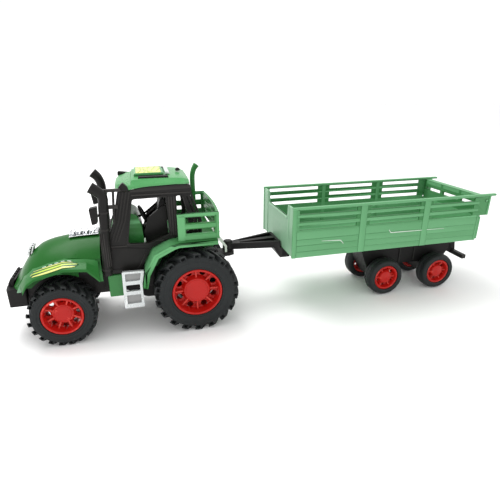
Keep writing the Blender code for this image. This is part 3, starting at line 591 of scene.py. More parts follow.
def hood_row(x, bottom, inset=0.0):
    """The hood's outline across at x, from one lower edge over the crown to the other."""
    _, half, shoulder, crown = catmull(HOOD, *place_in(HOOD, x))
    top = []
    for i in range(HOOD_SAMPLES + 1):
        u = i / HOOD_SAMPLES
        top.append((half * u - inset * u, crown - inset - (crown - shoulder) * u ** 1.9))
    return [at(x, y, z) for y, z in mirrored(top + [(half - inset, bottom)])]


def hood():
    stations = [-155.2, -154.2, -153.2, -152.2, -151, -149.5, -148, -146.4, -144.6, -142.6, -140.6,
                -138.7, -136.5, -134, -130.6, -127, -123.5, -120, -116, -112, -108, -103, -98,
                -93, -88, -84, -80.4]
    rows = [hood_row(x, 48.0 if x < -145 else 50.0) for x in stations]
    inner = [hood_row(x, 45.0, 1.8) for x in stations[5:]]
    inner.append([spot + Vector((4 * MM, 0, 0)) for spot in inner[-1]])
    gap = [(-100, 40), (-100, 68.3), (-93.3, 61.2), (-83.3, 50.3), (-80.4, 46.8), (-79, 40)]
    shell = carved(skin(rows), [skin(inner)] + [wheel_well(side, 32.0) for side in SIDES]
                   + [prism([gap], out_from(side, 20, 29)) for side in SIDES])
    well_back = [(-106, 56.4), (-102, 66.0), (-93.6, 70.4), (-80.8, 70.4), (-80.8, 56.4)]
    piece("engine_bay", prism([well_back], (-24.6, 24.6)), "black", bevel=0.3)
    piece("hood_cover", shell, "painted_shade_green", ["hood_shell"], bevel=0.5, segments=3, sharp=50)


def fender(side, suffix):
    sections = []
    for x_in, y_in, z_in, x_out, z_out in FENDER:
        x_mid, z_mid = (x_in + x_out) / 2, (z_in + z_out) / 2 + 1.2
        y_mid = (y_in + FENDER_HALF) / 2
        loop = [(x_in, y_in - 1.4, z_in + 0.3), (x_mid, y_mid, z_mid),
                (x_out, FENDER_HALF - 0.8, z_out + 0.1), (x_out, FENDER_HALF, z_out - 0.7),
                (x_out, FENDER_HALF, z_out - 2.6), (x_out, FENDER_HALF - 1.8, z_out - 2.6),
                (x_out, FENDER_HALF - 2.2, z_out - 2.0), (x_mid, y_mid, z_mid - 2.2),
                (x_in, y_in - 1.4, z_in - 3.0)]
        sections.append([at(x, side * y, z) for x, y, z in loop])
    piece("front_fender_" + suffix, carved(skin(sections), [wheel_well(side, 31.6)]), "painted_shade_green",
          bevel=0.35, sharp=12)
    # The fender's front corner takes the pale look: a painted highlight on the rounded corner.
    brow = [(-150.2, 48.2), (-146.6, 48.2), (-142.4, 53.6), (-146.8, 55.2)]
    piece("fender_corner_" + suffix, slab(brow, 0.8, out_from(side, 23.2, 29.5)),
          "board", bevel=0.5, segments=3)


def fender_point(side, x, across, lift):
    """A point on the fender's top: across is 0 at the hood and 1 at the outer edge."""
    x_in, y_in, z_in, x_out, z_out = row_at(FENDER, x)
    inner, outer = Vector((x_in, y_in, z_in)), Vector((x_out, FENDER_HALF, z_out))
    middle = (inner + outer) / 2 + Vector((0, 0, 1.2))
    if across < 0.5:
        spot = inner.lerp(middle, across * 2)
    else:
        spot = middle.lerp(outer, across * 2 - 1)
    return at(spot.x, side * (spot.y + lift * 0.4), spot.z + lift)


def decal(name, look, side, start, end, low, high, lift):
    """A thin printed strip on the fender; low and high give its edges across at 0..1 along."""
    rows = []
    steps = 26
    for i in range(steps + 1):
        t = i / steps
        x = start + (end - start) * t
        edges = [low(t), high(t)]
        across = [edges[0] + (edges[1] - edges[0]) * k / 4 for k in range(5)]
        rows.append([fender_point(side, x, a, lift) for a in across])
    piece(name, skin(rows, caps=False, closed=False), look, thick=0.05)


def fender_decals(side, suffix):
    """Slim stripes that follow the fender's crease: lime and yellow with dark gaps between."""
    decal("swoosh_ground_" + suffix, "decal_dark", side, -138.0, -97.0,
          lambda t: 0.62 - 0.40 * math.sin(math.pi * t) ** 0.6,
          lambda t: 0.66 + 0.31 * math.sin(math.pi * t) ** 0.6, 0.08)
    stripes = (("decal_yellow", -136.0, -99.5, 0.80, 0.15, 0.04),
               ("decal_lime", -137.5, -98.0, 0.60, 0.13, 0.02),
               ("decal_yellow", -134.5, -101.5, 0.42, 0.10, -0.02))
    for k, (look, start, end, low, wide, dip) in enumerate(stripes):
        decal(f"swoosh_{k}_{suffix}", look, side, start, end,
              lambda t, low=low, dip=dip: low - dip * t,
              lambda t, low=low, dip=dip, wide=wide:
              low - dip * t + wide * math.sin(math.pi * (0.06 + 0.88 * t)) ** 0.7, 0.16)
    for k in range(5):
        begin = -127 + 5.2 * k
        decal(f"swoosh_mark_{k}_{suffix}", "decal_white", side, begin, begin + 3.2,
              lambda t: 0.27 + 0.04 * t, lambda t: 0.34 + 0.05 * t, 0.2)


def nose():
    plan = [(-162, -12), (-160.6, -21), (-145.4, -21), (-145.4, 21), (-160.6, 21), (-162, 12)]
    bumper = carved(slab(plan, 1.6, (31, 47.6), "XY"),
                    [block((-159, -147.5), (-18.5, 18.5), (30, 45.2))])
    piece("nose_bumper", bumper, "black", ["front_bumper"], bevel=0.5, segments=3)
    back = [(-159.0, 47.9), (-157.6, 50.6), (-155.4, 54.2), (-153.7, 54.2), (-156.0, 51.2),
            (-156.0, 47.9)]
    rib = [(-160.9, 47.9), (-160.4, 50.5), (-157.6, 55.3), (-155.4, 55.3), (-157.4, 47.9)]
    ribs = [slab(rib, 0.5, (y - 1.6, y + 1.6), steps=2) for y in (-11.0, -5.5, 0.0, 5.5, 11.0)]
    piece("nose_grille", merged(prism([back], (-12.9, 12.9)), *ribs), "black",
          ["grille"], bevel=0.3)

    tilt = math.atan2(9.1, 3.2)
    slope = Vector((math.cos(tilt), 0, math.sin(tilt)))
    lift = Vector((-math.sin(tilt), 0, math.cos(tilt)))
    middle = at(-139.9, 0, 76.2)

    def plate(u, v, size, up):
        """A block on the nose's slope, u along it, v across it and up from it."""
        bm = bmesh.new()
        place = (Matrix.Translation(middle + (slope * u + lift * up) * MM + Vector((0, v * MM, 0)))
                 @ Matrix.Rotation(-tilt, 4, "Y") @ Matrix.Diagonal((*(n * MM for n in size), 1.0)))
        bmesh.ops.create_cube(bm, size=1.0, matrix=place)
        return bm
    piece("nose_lamp_holder", plate(0, 0, (8.6, 10.8, 1.4), -0.5), "cab_black", bevel=0.3)
    lamps = [plate(u, v, (2.5, 3.4, 2.2), 0.7) for u in (-3.3, 0, 3.3) for v in (-4.2, 0, 4.2)]
    lamps += [plate(0.6, v, (7.6, 2.2, 2.0), -1.2) for v in (-4.2, 0, 4.2)]
    piece("nose_lamps", merged(*lamps), "silver", ["headlamp_bar"], bevel=0.35)


def engine():
    base = [(-106.5, 86.6), (-93, 87.6), (-81, 88.0), (-81, 88.7), (-93, 88.3), (-106, 87.4)]
    parts = [prism([base], (-8.5, 8.5))]
    for k in range(4):
        x = -102.6 + k * 5.6
        for side in SIDES:
            bend = [(x, side * 7.6, 88.2), (x, side * 6.0, 89.3), (x + 0.5, side * 3.6, 89.3),
                    (x + 1.8, side * 1.6, 89.2)]
            parts += [tube(smooth_path(bend, 4), 1.05, 12),
                      rod((x + 2.8, side * 5.0, 88.9), 1.1, 1.8, "Z", 16, 0.7)]
    parts += [tube([(-104.8, y, 88.4), (-103.4, y, 89.2), (-84, y, 89.3)], 0.95, 14)
              for y in (-1.5, 1.5)]
    parts += [block((-84.5, -81.4), (-6.5, 6.5), (88.2, 89.9)), rod((-105.0, 0, 88.5), 1.5, 9, "Y", 18)]
    piece("chromed_engine", merged(*parts), "chrome", ["engine_block"], bevel=0.18)


# ---- cab ----
CAB_OUTLINE = [(-79, 57), (-47.8, 56), (-45.0, 62.2), (-36.4, 78.0), (-21.5, 84.7),
               (-13.6, 86.1), (8.6, 86.1), (9.2, 99), (6.6, 109), (1.6, 124.5), (0.4, 132.2),
               (-10, 133.3), (-38, 132.4), (-54.5, 129.3), (-60, 129.8), (-66, 104), (-73.5, 86)]
WINDOW = [(-48.8, 122.5), (-21.2, 123), (-19.8, 90), (-26, 87.6), (-38, 82.6), (-55.8, 83.5)]
QUARTER = [(-12.4, 123.6), (-7.4, 123.6), (-3.4, 108), (-2.6, 90.5), (-12.4, 90.5)]


def grown(outline, by):
    """An outline moved outwards by that many millimetres."""
    points = [Vector(p) for p in outline]
    area = sum(a.x * b.y - b.x * a.y for a, b in zip(points, points[1:] + points[:1]))
    sign = 1 if area > 0 else -1
    result = []
    count = len(points)
    for i, here in enumerate(points):
        d1 = (here - points[i - 1]).normalized()
        d2 = (points[(i + 1) % count] - here).normalized()
        n1, n2 = Vector((d1.y, -d1.x)), Vector((d2.y, -d2.x))
        bisector = (n1 + n2).normalized()
        result.append(tuple(here + bisector * (sign * by / max(0.4, bisector.dot(n1)))))
    return result


def slanted(foot, head, wide):
    """A leaning bar as an outline, from foot to head, that many millimetres wide along x."""
    return [foot, (foot[0] + wide, foot[1]), (head[0] + wide, head[1]), head]


def band_round(loop, wide, corner, hole_corner, face):
    """A raised band round a loop."""
    return prism([rounded(grown(loop, wide), corner), rounded(loop, hole_corner)], face)


def cab():
    slits = [slanted((2.6, 104), (-3.6, 123.2), 0.8), slanted((5.4, 104), (-0.6, 123.2), 0.8),
             slanted((1.0, 91), (1.6, 101.4), 0.9), slanted((4.4, 91), (5.0, 101.4), 0.9)]
    loops = [rounded(CAB_OUTLINE, 1.2, 2), rounded(WINDOW, 2.2), rounded(QUARTER, 1.2)] + slits
    parts = [prism(loops, out_from(side, 27, 29.4)) for side in SIDES]
    parts += [block(xs, (-27.4, 27.4), zs) for xs, zs in (
        ((-78.6, -76.3), (57.6, 90)), ((-77.2, -71), (87.5, 90.6)), ((-59.6, -55.5), (121.8, 128)),
        ((-1.5, 1.3), (122.4, 130)), ((5.4, 8.4), (86.6, 90.1)))]
    piece("cab_shell", merged(*parts), "cab_black", ["cab_frame"], bevel=0.3)


def cab_trim(side, suffix):
    face = out_from(side, 29.2, 30.0)
    ribs = [band_round(WINDOW, 1.5, 2.6, 2.2, face), band_round(QUARTER, 1.0, 2.6, 2.2, face)]
    front, wide = [(-73.5, 86), (-66, 104), (-60, 129.2)], 1.2
    for shift in (1.3, 3.9, 6.5, 9.1):
        ribs.append(prism([[(x + shift, z) for x, z in front]
                           + [(x + shift + wide, z) for x, z in reversed(front)]], face))
    ribs += [block((x - 0.65, x + 0.65), face, (88.2, 123)) for x in (-18.6, -16.4, -14.2)]
    door = [(-71.5, 61), (-49.5, 60), (-47.6, 63.6), (-40.5, 77), (-56, 79), (-69.5, 80)]
    ribs += [prism([[(-50, 128.6), (0.6, 129.6), (0.4, 132.0), (-10, 133.0), (-38, 132.0),
                     (-50, 130.2)]], face),
             block((-49, 0.6), face, (125.4, 126.6)),
             prism([[(8.6, 87), (9.0, 99), (6.4, 109), (1.5, 124.5), (0.5, 124.5), (5.2, 109),
                     (7.8, 99), (7.4, 87)]], face),
             band_round(door, 0.8, 1.6, 1.2, face),
             block((-70.6, -57.0), face, (81.2, 82.4)), block((-31.8, -25.4), face, (84.0, 85.0))]
    piece("cab_trim_" + suffix, merged(*ribs), "cab_black", bevel=0.2)
    cap = [(-59.4, 129.6), (-58.7, 133.4), (-55.2, 137.0), (-51.4, 133.6), (-50.6, 130.4)]
    if side > 0:
        cap = [(-60.9, 132.6), (-60.9, 135.8), (-59.6, 136.6), (-47.6, 134.6), (-47.6, 132.8)]
    piece("pillar_cap_" + suffix, slab(cap, 0.9, out_from(side, 26.2, 30.8)), "cab_black",
          bevel=0.5, segments=3)


# Rows of the roof: x, half width, and the heights of its lower edge, shoulder and top.
ROOF = [(-62, 19, 128.4, 131.2, 133.0), (-59.8, 24.6, 128.5, 132.2, 134.6),
        (-54.6, 26.5, 129.6, 133.4, 135.8), (-53.2, 30.4, 130.3, 134.0, 136.0),
        (-48.8, 30.6, 131.2, 135.0, 136.8), (-47.8, 30.6, 131.4, 135.8, 139.4),
        (-38, 30.8, 132.9, 136.6, 139.6), (-12, 30.8, 133.8, 137.0, 139.3),
        (-4.4, 29.8, 133.3, 136.4, 138.4), (0.2, 26.5, 132.7, 134.6, 136.0)]


def roof_ring(x, inset=0.0, drop=0.0):
    _, half, bottom, shoulder, top = row_at(ROOF, x)
    half -= inset
    arc = [(0, top), ((half - 9) / 2, top - 0.1), (half - 9, top - 0.4), (half - 5.8, top - 1.0),
           (half - 4.0, (top * 2 + shoulder) / 3), (half - 2.4, shoulder),
           (half - 0.9, (shoulder * 2 + bottom) / 3), (half, bottom + 1.2), (half, bottom)]
    return [at(x, y, z - drop) for y, z in mirrored(arc)]


def roof():
    xs = [-62, -61.2, -60.4, -59.8, -58, -56, -54.6, -53.2, -51, -49.2, -48.8, -48.3, -47.8, -45,
          -40, -34, -28, -22, -16, -12, -9, -7, -4.4, -3, -1.4, 0.2]
    rim_z, below = at(0, 0, 133.2).z, Vector((0, 0, -6 * MM))
    inner = [[spot + below if spot.z < rim_z else spot for spot in roof_ring(x, 1.8, 1.8)]
             for x in xs[3:-2]]
    shell = carved(skin([roof_ring(x) for x in xs]), [skin(inner)])
    piece("cab_roof", shell, "painted_light_green", ["roof"], bevel=0.35)
    hatch = slab([(-46, 140.0), (-44.8, 141.7), (-21.4, 141.7), (-20, 140.0)], 0.6, (-16.6, 16.6))
    piece("hatch_cover", hatch, "painted_light_green", ["roof_hatch"], bevel=0.5, segments=3)
    # Black strips beside the hatch are painted shade: the dark gap at the edge of the roof's top.
    slot = [(-42.6, 138.0), (-42.0, 140.0), (-17.4, 140.0), (-16.8, 138.0)]
    both_sides(lambda side, suffix: piece("roof_gap_shade_" + suffix, slab(
        slot, 0.5, out_from(side, 19.4, 24.4)), "black", bevel=0.3))


def roof_fittings():
    label = []
    for i in range(25):
        x = -44.0 + 21.4 * i / 24
        label.append([at(x, y, 141.74 + (0.0 if abs(y) < 14 else -0.02)) for y in
                      (-15.2, -10, -5, 0, 5, 10, 15.2)])
    piece("hatch_label", skin(label, caps=False, closed=False), "decal_yellow", thick=0.05)
    strips = []
    for k in range(6):
        path = []
        for i in range(15):
            t = i / 14
            x = -42.6 + 3.5 * k + 2.2 * math.sin(3.0 * t + k)
            y = -13.6 + 27.2 * t
            path.append([at(x, y, 141.84), at(x + 0.9 + 0.5 * math.sin(5 * t + k), y, 141.84)])
        strips.append(skin(path, caps=False, closed=False))
    piece("hatch_label_waves", merged(*strips), "decal_lime", thick=0.05)
    knob = merged(rod((-7, 0, 140.6), 2.2, 1.8, "Z", 24, 2.0), rod((-7, 0, 141.8), 1.7, 1.0, "Z", 24, 1.2))
    piece("roof_beacon_knob", knob, "black", ["roof_beacon"], bevel=0.25)
    bar = [slab([(-19.5, 140.0), (-19.0, 142.1), (-15.9, 141.9), (-15.1, 140.0)], 0.5, (y, y + 5.4))
           for y in (-14.9, -8.9, -2.7, 3.5, 9.5)]
    piece("work_lights", merged(*bar), "clear", ["work_light_bar"], bevel=0.3)


def interior():
    dash = [(-70.4, 92), (-66.5, 103), (-59, 107.5), (-51.5, 107.5), (-46.5, 104.5), (-43.2, 96),
            (-42.4, 86), (-42.4, 66), (-70.4, 66)]
    piece("console", slab(dash, 4.5, (-17, 17), steps=5), "green", ["dashboard"],
          bevel=1.6, segments=4)
    gauge = merged(rod((-55.2, 0, 107.6), 3.0, 1.2, "Z", 28, 2.7),
                   *[rod((-55.6, y, 107.6), 2.0, 1.0, "Z", 24, 1.7) for y in (8, -8)])
    piece("console_dials", gauge, "black", bevel=0.2)
    seat = [(-40.5, 80.5), (-41.5, 88.5), (-39, 91), (-32.5, 90.5), (-25.5, 117), (-21.5, 117.5),
            (-20.5, 86.0), (-27, 83.2)]
    piece("driver_seat", slab(seat, 2.2, (-12, 12)), "black", ["seat"], bevel=1.4,
          segments=4)
    shroud = [(-40.4, 76.0), (-41.6, 88), (-38.4, 96), (-37.8, 100.2), (-24.6, 110.6),
              (-20.4, 112.0), (-20.4, 84.6)]
    cheeks = [slab(shroud, 1.4, out_from(side, 10.5, 13.4)) for side in SIDES]
    piece("seat_cheeks", merged(*cheeks), "cab_black", bevel=0.5, segments=3)
    rails = [tube([(-40.2, y, z), (-23.8, y, z + 12.8)], 0.85, 14) for y, z in ((8.0, 99.2), (2.0, 98.0))]
    piece("grab_rails", merged(*rails), "cab_black")
    tray = [(-76, 57), (-48.5, 57), (-46.2, 62), (-43.5, 65.4), (-76, 65.4)]
    steering_wheel()
    piece("cab_tray", prism([tray], (-26.4, 26.4)), "black", ["cab_floor"], bevel=0.4)


def steering_wheel():
    centre = Vector((-41.0, 0, 101.0))
    tilt = math.radians(66)
    lean = Vector((math.sin(tilt), 0, math.cos(tilt)))
    side_way = Vector((0, 1, 0))
    up_way = lean.cross(side_way)

    def spot(u, v, w=0.0):
        return tuple(centre + side_way * u + up_way * v + lean * w)
    parts = [ring_of(tuple(centre), 7.9, 1.25, lean)]
    for a in (90, 210, 330):
        u, v = 8.0 * math.cos(math.radians(a)), 8.0 * math.sin(math.radians(a))
        parts.append(tube([spot(0, 0, -0.6), spot(u * 0.5, v * 0.5, -0.3), spot(u, v)], 1.1, 12))
    parts += [tube([spot(0, 0, 0.5), spot(0, 0, -1.6)], 2.0, 20),
              tube([spot(0, 0, -1.2), spot(0, 0, -6.2)], 1.1, 14)]
    piece("wheel_and_column", merged(*parts), "black", ["steering_wheel"])


def smooth_path(points, steps=6):
    """A finer path through (x, y, z) points, or through those with a fourth value."""
    result = [tuple(catmull(points, i, k / steps)) for i in range(len(points) - 1)
              for k in range(steps)]
    return result + [tuple(points[-1])]


def pipe(path, radii, mouth, depth=6, steps=28):
    """A smooth pipe with an open mouth at its far end, depth points deep."""
    joined = smooth_path([(*p, r) for p, r in zip(path, radii)])
    spots = [p[:3] for p in joined]
    past_end = tuple(Vector(spots[-1]) * 2 - Vector(spots[-2]))
    hollow = tube(spots[-depth:-1] + [past_end], mouth, steps)
    return carved(tube(spots, [p[3] for p in joined], steps), [hollow])


def stack_and_mirror(side, suffix):
    y = side * 34.6
    path = [(-77, y, 58.6), (-77, y, 80), (-77, y, 100), (-77, y, 118), (-77.6, y, 125),
            (-80, y, 131), (-84, y, 135.2)]
    if side < 0:
        path = [(-75.2, y, 58.6), (-74.1, y, 80), (-73.0, y, 100), (-72.0, y, 118),
                (-71.4, y, 126), (-74.0, y, 131), (-80.2, y, 135.6)]
    x = path[3][0]
    stack = [pipe(path, (3.9, 3.9, 3.9, 3.95, 4.0, 4.2, 4.6), 3.7)]
    stack += [rod((path[i][0] + 0.1, y, z), 4.2, 1.5, "Z", 32) for i, z in ((0, 64), (2, 100), (3, 114.5))]
    for k in range(5):
        a = math.radians(-90 * side + (k - 2) * 26)
        across, out = path[1][0] + 3.75 * math.cos(a), y - 3.55 * math.sin(a)
        stack.append(block((across - 0.4, across + 0.4), (out - 0.45, out + 0.45), (67, 97)))
    piece("pipe_stack_" + suffix, merged(*stack), "cab_black",
          ["exhaust_stack_" + suffix], bevel=0.2)
    bars = out_from(side, 30.4, 32.8)
    brackets = [block((x, -60.5), bars, (116.2, 119.4))]
    if side < 0:
        brackets += [block((x, -57), bars, (130.4, 132.8)),
                     prism([[(-66.2, 103), (-64.2, 103), (-62.0, 131.5), (-64.0, 131.5)]], bars)]
    piece("stack_bracket_" + suffix, merged(*brackets), "cab_black", bevel=0.45, segments=3)
    lean = 0.8 if side < 0 else 0.0
    glass = [(x - 11.2, 118.6), (x - 4.7, 119.7), (x - 4.7 - lean, 106.0), (x - 9.4 - lean, 104.6)]
    mirror = merged(slab(glass, 1.2, out_from(side, 31.6, 37)),
                    tube([(x - 5.0, y, 112), (x - 2, y, 112)], 1.2, 14))
    piece("side_mirror_" + suffix, mirror, "cab_black", ["mirror_" + suffix], bevel=0.6,
          segments=3)


# ---- tractor: chassis, ladders, rear ----
def chassis():
    axles = (REAR_AXLE, FRONT_AXLE)
    side_view = [(-145, 34), (-124, 34), (-122, 22), (-108, 22), (-106, 34), (-62, 34), (-44, 24.5),
                 (26, 24.5), (30, 40), (30, 56), (-145, 56)]
    rooms = [block((-143, -45), (-15, 15), (36, 70)), block((-45.5, 27), (-15, 15), (26.3, 70))]
    parts = [carved(slab(side_view, 2.0, (-17, 17), steps=3), rooms + axle_holes(axles, 40))]
    for side in SIDES:
        parts += [block((x, x + 1.6), out_from(side, 16.8, 18.0), (37, 54)) for x in (-98, -90, -82)]
        parts.append(block((-104, -64), out_from(side, 16.8, 18.4), (52, 54.4)))
        for (x, z), radius, thick in zip(axles, (5.0, 4.2), (2.4, 2.0)):
            boss = rod((x, side * 17.6, z), radius, thick, "Y", 32)
            parts.append(carved(boss, axle_holes(axles, 60)))
    tow_plate = [(28, -8), (HITCH, -7.5), (43.4, -5), (44.4, 0), (43.4, 5), (HITCH, 7.5), (28, 8)]
    parts += [prism([tow_plate], (54.0, 57.2), "XY"), rod((HITCH, 0, 60), 2.3, 10, "Z", 28)]
    piece("frame_rails", merged(*parts), "black", ["chassis"], bevel=0.35)


def ladder_and_tank(side, suffix):
    outline = [(-63.5, 61.4), (-44.7, 61.0), (-47.3, 47.2), (-47.0, 26.2), (-64.2, 26.2)]
    cells = [[(-61.0, 59.4), (-47.8, 59.2), (-49.0, 52.2), (-61.2, 52.2)],
             [(-61.2, 48.6), (-49.3, 48.6), (-49.4, 42.4), (-61.3, 42.4)],
             [(-61.3, 38.9), (-49.4, 38.9), (-49.3, 30.4), (-61.5, 30.4)]]
    parts = [prism([rounded(outline, 1.2)] + [rounded(cell, 0.8) for cell in cells],
                   out_from(side, 36.4, 39.4)),
             block((-61.4, -49), out_from(side, 17.4, 37), (52.4, 55.4))]
    parts += [block((-61.8, -48.9), out_from(side, 36.5, 37.1), (z - 1.7, z + 1.4))
              for z in (50.4, 40.6)]
    piece("step_ladder_" + suffix, merged(*parts), "silver", ["ladder_" + suffix],
          bevel=0.35, segments=3)
    # Grey plates behind the top and bottom cells are painted shade, standing in for the shadowed floor and
    # chassis seen through the cells.
    behind = out_from(side, 36.5, 37.4)
    plates = merged(block((-61.6, -47.9), behind, (51.4, 59.8)),
                    block((-61.8, -48.9), behind, (28.4, 39.0)))
    piece("ladder_shade_plate_" + suffix, plates, "ladder_cell_shade", bevel=0.2)
    piece("fuel_tank_" + suffix, block((-76, -62), out_from(side, 17.4, 31), (35, 55.6)), "green",
          ["side_tank_" + suffix], bevel=1.0, segments=4)


DECK_CURVE = [(-46.8, 47), (-44.0, 61.5), (-35.7, 76.9), (-21.2, 83.9), (-13.5, 85.6)]


def deck_band(inward, foot_drop, deck_drop, end):
    """A strip that follows the deck's curve, with its lower edge moved in and down."""
    under = [(x + inward, z - (foot_drop if z < 50 else deck_drop)) for x, z in DECK_CURVE[:-1]]
    return DECK_CURVE + [(20.6, 85.6)] + end + under[::-1]


def rear_body():
    band = deck_band(2.2, 0, 1.6, [(20.6, 83.4), (-13.2, 83.4)])
    lip = deck_band(4.2, 1.0, 3.6, [(20.6, 81.6), (-12.8, 81.4)])
    wall = [(-43.6, 56.3), (-42.6, 61), (-34.2, 75.6), (-20.4, 82.6), (20.6, 84.6), (20.6, 71),
            (10, 56.3)]
    parts = [prism([band], (-46, 46))]
    for side in SIDES:
        parts += [prism([wall], out_from(side, 17.6, 19.6)), prism([lip], out_from(side, 44.4, 46))]
    parts.append(block((18.6, 20.6), (-18, 18), (71, 84.6)))
    piece("rear_fenders", merged(*parts), "green", ["rear_body"], bevel=0.35)


def rack():
    low, high, rear = 85.9, 110.0, 22.4
    outline = rect(-13.5, low, rear, high)
    slots = [rect(-6.6, a, 18.6, b, 0.5) for a, b in ((91.9, 96.0), (101.3, 106.8))]
    parts = []
    for side in SIDES:
        proud = out_from(side, 41.2, 41.9)
        parts += [prism([outline] + slots, out_from(side, 39.4, 41.4)),
                  block((-13.5, -7.4), out_from(side, 39, 42), (low, high)),
                  block((-13.5, rear), out_from(side, 38.9, 42), (107.6, high)),
                  block((-7.4, rear - 2.6), proud, (96.9, 100.4)),
                  block((-7.4, rear - 2.6), proud, (86.8, 90.9))]
    bow = [(22.6, 41.6), (23.2, 34), (23.8, 26), (24.2, 17.5), (24.6, 9)]
    outer = bow + [(x, -y) for x, y in reversed(bow)]
    inner = [(x - 2.4, y) for x, y in reversed(outer)]
    gaps = [block((12, 30), (-38.4, 38.4), (z, z + 2.0)) for z in (92.4, 100.6)]
    parts.append(carved(prism([outer + inner], (low, high - 0.5), "XY"), gaps))
    lip = [(x + 0.25, y) for x, y in outer] + [(x - 0.7 + 0.9, y) for x, y in reversed(outer)]
    parts += [prism([lip], (z, z + 0.9), "XY") for z in (91.2, 99.4, 108.0)]
    piece("slatted_rack", merged(*parts), "green", ["rear_rack"], bevel=0.3)


def rear_details():
    x, y = 10.3, 35.6
    path = [(x, y, 85.9), (x, y, 100), (x, y, 124), (x + 0.8, y, 130.6), (x + 2.4, y, 135),
            (x + 4.9, y, 138.6)]
    foot = rod((x, y, 87.2), 3.4, 2.4, "Z", 28, 2.9)
    piece("horn", merged(pipe(path, (2.7, 2.6, 2.6, 2.6, 2.7, 3.1), 2.3, steps=24), foot), "green",
          ["horn_pipe"], bevel=0.15)
    prong = [(21.0, 82.8), (22.8, 82.8), (36.2, 64.4), (36.2, 57.5), (34.0, 57.5), (34.0, 63.6),
             (21.0, 80.2)]
    arms = [slab(prong, 0.4, out_from(side, 4.9, 6.1), steps=2) for side in SIDES]
    piece("hitch_arm", merged(*arms, block((20.9, 22.6), (-6.1, 6.1), (80.2, 82.8))), "white",
          ["tow_bracket"], bevel=0.25)
    clip = carved(rod((HITCH, 0, 58.2), 4.5, 1.4, "Z", 36), [rod((HITCH, 0, 58.2), 2.6, 5, "Z", 36)])
    piece("peg_clip", clip, "black", ["hitch_clip"], bevel=0.25)


# ---- trailer ----
def drawbar():
    height = [(39, 59.4), (39, 65.2), (44, 65.8), (84, 67.6), (88.9, 67.6), (88.9, 60.5),
              (103, 60.5), (98.6, 50), (88.8, 50), (82, 61), (44, 59.4)]
    plan = [(36, -3.6), (42, -4.4), (84, -15.4), (104, -15.4), (104, 15.4), (84, 15.4), (42, 4.4),
            (36, 3.6)]
    tray = carved(prism([height], (-16, 16)), [prism([plan], (40, 80), "XY")], "INTERSECT")
    cuts = []
    for side in SIDES:
        groove = [(50, side * 2.2), (50, side * 4.2), (86, side * 12.0), (86, side * 3.2)]
        cuts.append(prism([groove], (63.2, 70), "XY"))
        cuts.append(block((91, 97), out_from(side, 14.9, 17), (52.0, 58.4)))
    tray = carved(tray, cuts)
    eye = rod((HITCH, 0, 63.2), 4.3, 7.6, "Z", 40)
    cap = merged(rod((HITCH, 0, 67.4), 4.3, 1.2, "Z", 40, 4.0),
                 rod((HITCH, 0, 68.6), 3.8, 1.2, "Z", 40, 2.6))
    knob = carved(merged(eye, cap), [rod((HITCH, 0, 61.2), 2.6, 9, "Z", 32)])
    piece("tow_beam", merged(tray, knob), "black", ["drawbar"], "trailer", bevel=0.3)


BAYS = ((95.7, 153.5), (167.5, 222.0), (235.8, 285.0))
SLOT_ROWS = ((88.0, 91.7), (95.6, 99.3), (103.1, 106.7))
RIBS = ((157.2, 163.6), (226.2, 232.6))
BOX_FRONT, BOX_TOP, BOX_HALF = 89.3, 109.4, 47.1
GATE_PIN = (299, 103)            # x and z of the tailgate's hinge


def trailer_wall(side):
    """One side wall with its slots, planks, ribs, rails and the hole for the gate's pin."""
    outline = [(BOX_FRONT, 60.8), (293, 60.8), (293, 87.5), (303.5, 87.5), (303.5, 107),
               (309.5, 107.6), (309.5, BOX_TOP), (BOX_FRONT, BOX_TOP)]
    slots = [rect(a, low, b, high, 0.5) for a, b in BAYS for low, high in SLOT_ROWS]
    face, proud = out_from(side, BOX_HALF - 0.9, BOX_HALF - 0.35), out_from(side, BOX_HALF - 0.9, BOX_HALF)
    planks = ((61.2, 66.6), (67.1, 72.6), (73.1, 78.6), (79.1, 86.6), (92.4, 94.9), (100.0, 102.4))
    parts = [prism([outline] + slots, out_from(side, BOX_HALF - 2.4, BOX_HALF - 0.7))]
    parts += [block(bay, face, plank) for bay in ((93.4, 156.8), (164.0, 225.8), (233.0, 290.6))
              for plank in planks]
    for a, b in RIBS:
        parts += [block((a, b), proud, (60.9, 107.4)),
                  block((a + 1.2, b - 1.2), out_from(side, BOX_HALF - 2.9, BOX_HALF - 2.2),
                        (63.2, 107.4))]
    parts += [block((89.4, 93.0), proud, (60.9, 107.4)),
              block((291.0, 293.0), out_from(side, BOX_HALF - 0.9, BOX_HALF - 0.1), (60.9, 87.5)),
              block((BOX_FRONT, 309.4), out_from(side, BOX_HALF - 3.4, BOX_HALF), (107.4, BOX_TOP)),
              block((301.6, 303.5), proud, (87.6, 107.4))]
    return carved(merged(*parts), [rod((GATE_PIN[0], side * 46, GATE_PIN[1]), 1.5, 8, steps=20)])


